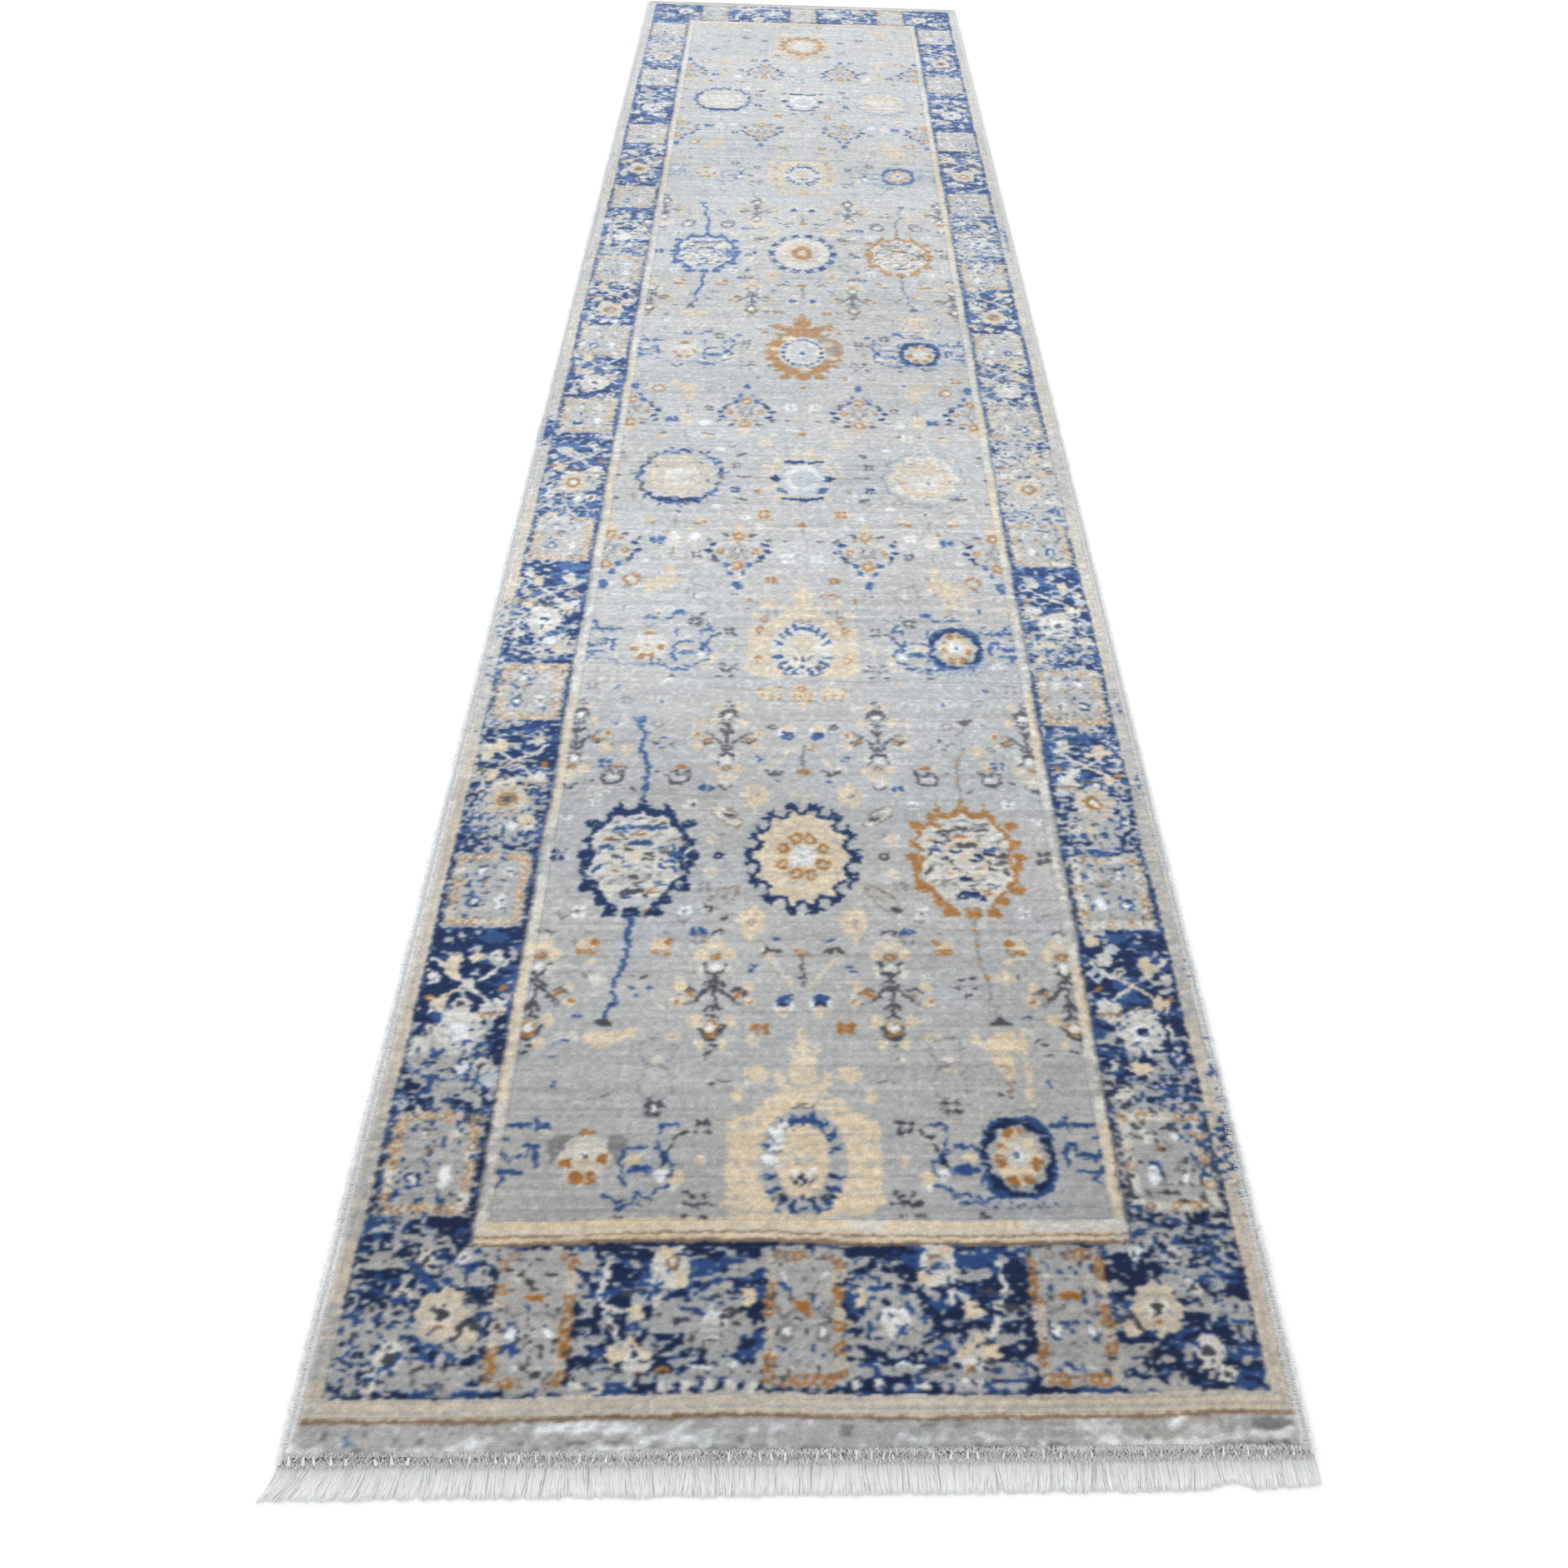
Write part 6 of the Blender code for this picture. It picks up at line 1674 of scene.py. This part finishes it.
def edge_yarn(side_sign, name):
    """Yarn wound over the edge: a closed tube whose turns lean, each a little proud of the groove between."""
    pitch = 0.0026
    per = 5
    n = int((END_FAR - END_NEAR) / pitch * per)
    y = np.linspace(END_NEAR + 0.0004, END_FAR - 0.0004, n)
    sides = 16
    a = 2 * np.pi * np.arange(sides) / sides
    r = np.random.RandomState(11 if side_sign < 0 else 12)
    turn_of = (y[:, None] / pitch) + side_sign * 0.42 * np.sin(a)[None, :] + 0.12 * np.interp(y, np.linspace(-2, 2, 400), r.rand(400))[:, None]
    ridge = np.abs(np.sin(np.pi * turn_of)) ** 0.7
    number = np.floor(turn_of).astype(int) % 997
    each = r.rand(997)[number]
    rad = EDGE_R * (0.84 + 0.15 * ridge + 0.05 * (each - 0.5))
    z = EDGE_Z + np.sin(a)[None, :] * rad
    z = np.maximum(z, 0.0001)
    x = side_sign * EDGE_X + np.cos(a)[None, :] * rad
    verts = np.stack([x, np.broadcast_to(y[:, None], x.shape), z], -1).reshape(-1, 3)
    i = np.arange(n - 1)[:, None] * sides
    j = np.arange(sides)[None]
    k = (j + 1) % sides
    quads = np.stack([i + j, i + k, i + sides + k, i + sides + j], -1).reshape(-1, 4)
    caps = [list(range(sides - 1, -1, -1)), list(range((n - 1) * sides, n * sides))]
    base = knot_row_colour(y, side_sign)
    pale = np.array(srgb_to_linear(np.array([246.0, 247.0, 246.0])))
    outer = np.clip(0.5 + 0.5 * np.cos(a), 0, 1)[None, :, None]
    base = base[:, None, :] * (1 - (0.35 + 0.45 * outer)) + pale * (0.35 + 0.45 * outer)
    # the turns' crests are lighter and the grooves between them darker: painted shade; each turn's own tone differs at
    # random
    col = base * (0.86 + 0.18 * ridge + 0.16 * (each - 0.5))[..., None]
    piece = build_mesh(name, verts, quads, caps, np.clip(col, 0, 1).reshape(-1, 3))
    return piece


YARN = yarn_material("overcast_yarn", (0.6, 0.6, 0.58), use_knots=True)
for word, s in (("left", -1), ("right", 1)):
    piece = edge_yarn(s, f"overcast_yarn_{word}")
    piece.data.materials.append(YARN)
    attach(piece, "carpet")
    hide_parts(f"edge_overcasting_{word}")

    # loose fibres that stand out of the worn edge
    count = 21000
    r = np.random.RandomState(40 + s)
    y = END_NEAR + 0.004 + r.rand(count) * (END_FAR - END_NEAR - 0.008)
    a = (r.rand(count) - 0.18) * 1.5
    root = np.stack([s * (EDGE_X + np.cos(a) * EDGE_R * 0.85), y, EDGE_Z + np.sin(a) * EDGE_R * 0.85], -1)
    reach = (0.0010 + 0.0044 * r.rand(count) ** 2) * np.interp(y, np.linspace(-2.0, 2.0, 160), 0.55 + 0.9 * r.rand(160))
    tip = root + np.stack([s * np.cos(a) * reach, (r.rand(count) - 0.5) * 0.006, np.sin(a) * reach - 0.0006], -1)
    tip[:, 2] = np.maximum(tip[:, 2], 0.0003)
    bend = (r.rand(count, 3) - 0.5) * 0.0012
    # two in three come from the outer rows of pile instead, and lie over the overcasting
    over = r.rand(count) < 0.66
    inward = 0.0010 + 0.0085 * r.rand(count)
    across = inward + 0.0016 + 0.0052 * r.rand(count)
    root[:, 0] = np.where(over, s * (HALF_BODY - inward), root[:, 0])
    root[:, 2] = np.where(over, PILE_TOP - 0.0012 - 0.0018 * np.exp(-inward / 0.0030), root[:, 2])
    tip[:, 0] = np.where(over, s * (HALF_BODY - inward + across), tip[:, 0])
    tip[:, 2] = np.where(over, EDGE_Z + EDGE_R * 0.9 - 0.10 * (across - inward) + 0.0012 * r.rand(count), tip[:, 2])
    bend[:, 2] = np.where(over, 0.0010 + 0.0006 * r.rand(count), bend[:, 2])
    mix = np.clip(0.72 + 0.45 * r.rand(count), 0, 1)[:, None]
    cols = knot_row_colour(y, s) * (1 - mix) + mix * srgb_to_linear(np.array([251.0, 253.0, 254.0]))
    verts, quads, ngons, cols = strands(root, tip, bend, 0.00020, 0.00008, 3, 4, cols, 61 + s)
    fuzz = build_mesh(f"edge_fibres_{word}", verts, quads, ngons, cols)
    fuzz.data.materials.append(YARN)
    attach(fuzz, "carpet")

CORD = yarn_material("core_cord", (0.62, 0.57, 0.47), scale=500)
for word in ("left", "right"):
    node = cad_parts[f"edge_cord_{word}"]
    node.data.materials.clear()
    node.data.materials.append(CORD)

# ---------------------------------------------------------------- ground weave, latex back and header tapes
def woven_slab(name, node, cell, depth, top_side=True):
    """The grid and thread heights of a closed slab in the place of a CAD sheet: its threads stand up on the face that
    shows.
    """
    low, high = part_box(node)
    c = cell * 1.0
    mx = max(8, int((high.x - low.x) / c))
    my = max(6, int((high.y - low.y) / c))
    xs, ys = np.linspace(low.x, high.x, mx), np.linspace(low.y, high.y, my)
    r = np.random.RandomState(len(name))
    i, j = np.meshgrid(np.arange(mx), np.arange(my))
    over = np.where((i + j) % 2 == 0, 1.0, -1.0) * depth * 0.35
    lift = over + (r.rand(my, mx) - 0.5) * depth * 0.7 + (noise2(xs, ys, 0.09, 0.05, 7) - 0.5) * depth
    return xs, ys, low, high, lift


def under_slab(name, node, cell, depth, colour_of):
    """A slab whose patterned face is its under side: it is made face up, and turned over."""
    xs, ys, low, high, lift = woven_slab(name, node, cell, depth)
    face = high.z - low.z - depth + lift
    face = np.clip(face, 0.0002, high.z - low.z)
    cols = colour_of(xs, ys)
    verts, quads, ngons, col = slab_arrays(xs, ys, face, 0.0, cols)
    verts[:, 2] = high.z - verts[:, 2]
    verts[:, 1] = low.y + high.y - verts[:, 1]
    return build_mesh(name, verts, quads, ngons, col)


def backing_colour(xs, ys):
    base = srgb_to_linear(np.array([196.0, 190.0, 176.0]))
    shade = 0.88 + 0.16 * noise2(xs, ys, 0.20, 0.16, 71) + 0.10 * (noise2(xs, ys, 0.03, 0.006, 72) - 0.5)
    # the design shows faintly through the back
    flip = ys[0] + ys[-1] - ys
    ji = np.clip(np.searchsorted(gy, flip), 0, len(gy) - 1)
    ii = np.clip(np.searchsorted(gx, xs), 0, len(gx) - 1)
    ghost = colour[np.ix_(ji, ii)]
    return np.clip((base * shade[..., None]) * 0.80 + ghost * 0.20, 0, 1)


back = under_slab("latex_backing", "latex_back_coat", 0.0050, 0.00030, backing_colour)
back_mat, nodes, links, shader = material("latex_back", roughness=0.62, sheen=0.05, specular=0.3, colour=(0.5, 0.47, 0.4))
grain = noise(nodes, links, (420, 160, 420), detail=4.0)
blotch = noise(nodes, links, (16, 16, 16), detail=5.0)
out = tinted(nodes, links, attribute(nodes), grain, 0.84, 1.12)
out = tinted(nodes, links, out, blotch, 0.90, 1.08)
links.new(out, shader.inputs["Base Color"])
wave = nodes.new("ShaderNodeTexWave")
wave.bands_direction = "Y"
wave.inputs["Scale"].default_value = 1.0
wave.inputs["Distortion"].default_value = 1.2
links.new(mapped(nodes, links, (30, 95, 30)), wave.inputs["Vector"])
first = bump(nodes, links, shader, wave.outputs["Fac"], 0.0004, 0.8)
bump(nodes, links, shader, grain, 0.0004, 0.6, chain=first)
back.data.materials.append(back_mat)
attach(back, "carpet")
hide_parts("latex_back_coat")

xs, ys, low, high, lift = woven_slab("ground_cloth", "ground_weave", 0.0050, 0.00030)
verts, quads, ngons, col = slab_arrays(xs, ys, np.clip(high.z - 0.00015 + lift * 0.5, low.z + 0.0005, high.z), low.z)
ground = build_mesh("ground_cloth", verts, quads, ngons)
ground.data.materials.append(weave_material("ground_yarn", (0.40, 0.34, 0.25), across=150.0, along=210.0))
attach(ground, "carpet")
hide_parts("ground_weave")

TAPE = weave_material("header_tape", (0.74, 0.74, 0.70), across=320.0, along=420.0, depth=0.00025)
for word in ("near", "far"):
    def plain(xs, ys):
        return np.ones((len(ys), len(xs), 3)) * 0.7
    tape = under_slab(f"header_tape_{word}", f"fringe_header_tape_{word}", 0.0024, 0.00022, plain)
    tape.data.materials.append(TAPE)
    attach(tape, "carpet")
    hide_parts(f"fringe_header_tape_{word}")

THREAD = yarn_material("seam_thread", (0.80, 0.82, 0.82), roughness=0.55, sheen=0.1, scale=1400)
for word in ("near", "far"):
    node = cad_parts[f"fringe_seam_thread_{word}"]
    node.data.materials.clear()
    node.data.materials.append(THREAD)

# stitches of the same thread that come up over the pile's end and pinch it
for word, y_end, s in (("near", END_NEAR, -1), ("far", END_FAR, 1)):
    parts = []
    r = np.random.RandomState(5 if s < 0 else 6)
    x = -HALF_BODY + 0.007
    while x < HALF_BODY - 0.004:
        lean = (r.rand() - 0.5) * 0.004
        inner = 0.0036 + 0.0050 * r.rand()
        pts = []
        for t in np.linspace(0, 1, 9):
            px = x + lean * t
            py = y_end - s * (0.0004 + inner * t)
            pz = PILE_TOP - 0.0036 + 0.0030 * math.sin(math.pi * min(1.0, t * 1.25) / 2) - (0.0034 * max(0.0, t - 0.8) / 0.2)
            pts.append((px, py, pz))
        if r.rand() < (0.85 if x < -0.36 else 0.60):
            wide = (0.0016 if x < -0.36 else 0.0010) + 0.0008 * r.rand()
            v, q, g, _ = tube_arrays(pts, np.linspace(wide, 0.0004, 9), 8)
            parts.append((v, q, g, None))
        x += 0.0130 * (0.7 + 0.6 * r.rand())
    verts, quads, ngons, _ = joined(parts)
    piece = build_mesh(f"end_stitches_{word}", verts, quads, ngons)
    piece.data.materials.append(THREAD)
    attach(piece, "carpet")

# the pile's loose silvery fibres hang out over the end of the weave
for word, y_end, s in (("near", END_NEAR, -1), ("far", END_FAR, 1)):
    count = 9500
    r = np.random.RandomState(80 + s)
    x = (r.rand(count) * 2 - 1) * (HALF_BODY - 0.0005)
    back = 0.0100 * r.rand(count) ** 1.3
    root = np.stack([x, y_end - s * back, np.where(back < 0.0062, 0.0028 + 0.0050 * r.rand(count), PILE_TOP - 0.0010)], -1)
    reach = 0.0030 + 0.0050 * r.rand(count)
    clump = np.interp(x, np.linspace(-0.5, 0.5, 620), r.rand(620)) * 0.7 + 0.3 * r.rand(count)
    reach *= 0.65 + 0.6 * clump
    tip = root + np.stack([(r.rand(count) - 0.5) * 0.009, s * reach * (0.5 + 0.5 * r.rand(count)), -0.0018 * r.rand(count) + 0.0018 * clump], -1)
    droop = (back < 0.0062) & (r.rand(count) < 0.75)
    tip[:, 2] = np.where(droop, 0.0031 + 0.0022 * r.rand(count), tip[:, 2])
    tip[:, 2] = np.clip(tip[:, 2], 0.0028, PILE_TOP + 0.0012)
    tip[:, 1] = s * np.minimum(s * tip[:, 1], abs(y_end) + 0.0050)
    # few of them toward the left corner
    few = (x < -0.35) & (r.rand(count) < 0.70)
    tip = np.where(few[:, None], root + (tip - root) * 0.25, tip)
    grey = srgb_to_linear(np.array([214.0, 215.0, 215.0]))
    white = srgb_to_linear(np.array([244.0, 246.0, 246.0]))
    # fibres rooted closest to the end are made whiter, partly pale fibre and partly painted light over the shade at the
    # fringe's roots
    whiteness_with_painted_light = np.clip(0.50 + 0.9 * (clump - 0.5) + 0.6 * (r.rand(count) - 0.5) + 0.50 * (back < 0.0055), 0, 1)[:, None]
    cols = grey * (1 - whiteness_with_painted_light) + white * whiteness_with_painted_light
    bend = np.stack([(r.rand(count) - 0.5) * 0.002, np.zeros(count), 0.0010 * r.rand(count)], -1)
    verts, quads, ngons, cols = strands(root, tip, bend, 0.00034, 0.00016, 4, 4, cols, 91 + s)
    loose = build_mesh(f"end_fibres_{word}", verts, quads, ngons, cols)
    loose.data.materials.append(YARN)
    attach(loose, "carpet")

# ---------------------------------------------------------------- fringes
COTTON = yarn_material("fringe_cotton", (0.8, 0.82, 0.82), roughness=0.8, sheen=0.15, use_knots=True, scale=1500)


def fringe(word, s, seed):
    """The loose threads of one end, in locks that lean together. s is -1 for the near end."""
    low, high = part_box(f"fringe_threads_{word}")
    root_y = low.y if s > 0 else high.y
    tip_y = high.y if s > 0 else low.y
    out = abs(tip_y - root_y)
    r = np.random.RandomState(seed)
    count = 7600
    x = np.sort(-0.4975 + 0.995 * r.rand(count))
    # locks
    lean_x = np.linspace(-0.52, 0.52, 70)
    lean_v = (r.rand(70) - 0.5) * 0.010
    lean = np.interp(x, lean_x, lean_v)
    fine_x = np.linspace(-0.52, 0.52, 360)
    lean = lean + np.interp(x, fine_x, (r.rand(360) - 0.5) * 0.006)
    # the threads near the left corner lean out, and those at the right a little
    lean += -0.020 * np.clip((-0.30 - x) / 0.20, 0, 1) ** 1.3
    lean += 0.006 * np.clip((x - 0.40) / 0.10, 0, 1)
    reach = out * (0.90 + 0.08 * np.interp(x, fine_x, r.rand(360))) * (0.95 + 0.05 * r.rand(count))
    # a few locks are shorter, and one stretch near the right is cut short
    if s < 0:
        short = np.clip(1 - np.abs(x - 0.412) / 0.020, 0, 1) ** 0.5
        reach *= 1 - 0.22 * short
        reach *= 1 - 0.16 * np.clip((x - 0.43) / 0.07, 0, 1)
    reach = np.minimum(reach, out * 0.995)
    level = r.rand(count)
    z0 = 0.0009 + 0.0013 * level
    z1 = 0.0004 + 0.0016 * level * (0.6 + 0.4 * r.rand(count))
    roots = np.stack([x, np.full(count, root_y - s * 0.0006), z0 + 0.0004], -1)
    tips = np.stack([x + lean * reach / out + (r.rand(count) - 0.5) * 0.003, root_y + s * reach, z1], -1)
    lim = high.x - 0.0008
    tips[:, 0] = np.clip(tips[:, 0], -lim, lim)
    bend = np.stack([(np.interp(x, fine_x, r.rand(360)) - 0.5) * 0.006 + (r.rand(count) - 0.5) * 0.002 - lean * 0.25, np.zeros(count), 0.0008 * (r.rand(count) - 0.3)], -1)
    tone = np.interp(x, np.linspace(-0.52, 0.52, 900), 0.97 + 0.06 * r.rand(900)) * (0.97 + 0.05 * r.rand(count))
    # six threads in a hundred are darker: painted shade for the gaps between locks
    dark = r.rand(count) < 0.06
    tone = np.where(dark, tone * 0.66, tone)
    cols = srgb_to_linear(np.array([249.0, 252.0, 252.0]))[None] * tone[:, None]
    warm = (r.rand(count) < 0.12)[:, None]
    cols = np.where(warm, cols * np.array([1.0, 0.97, 0.90]), cols)
    verts, quads, ngons, cols = strands(roots, tips, bend, 0.00050, 0.00028, 6, 4, np.clip(cols, 0, 0.98), seed + 9)
    verts[:, 2] = np.clip(verts[:, 2], 0.0002, high.z + 0.0004)
    piece = build_mesh(f"cotton_fringe_{word}", verts, quads, ngons, cols)
    piece.data.materials.append(COTTON)
    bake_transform(piece)
    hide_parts(f"fringe_threads_{word}")
    return piece


fringes = [fringe("near", -1, 500), fringe("far", 1, 600)]
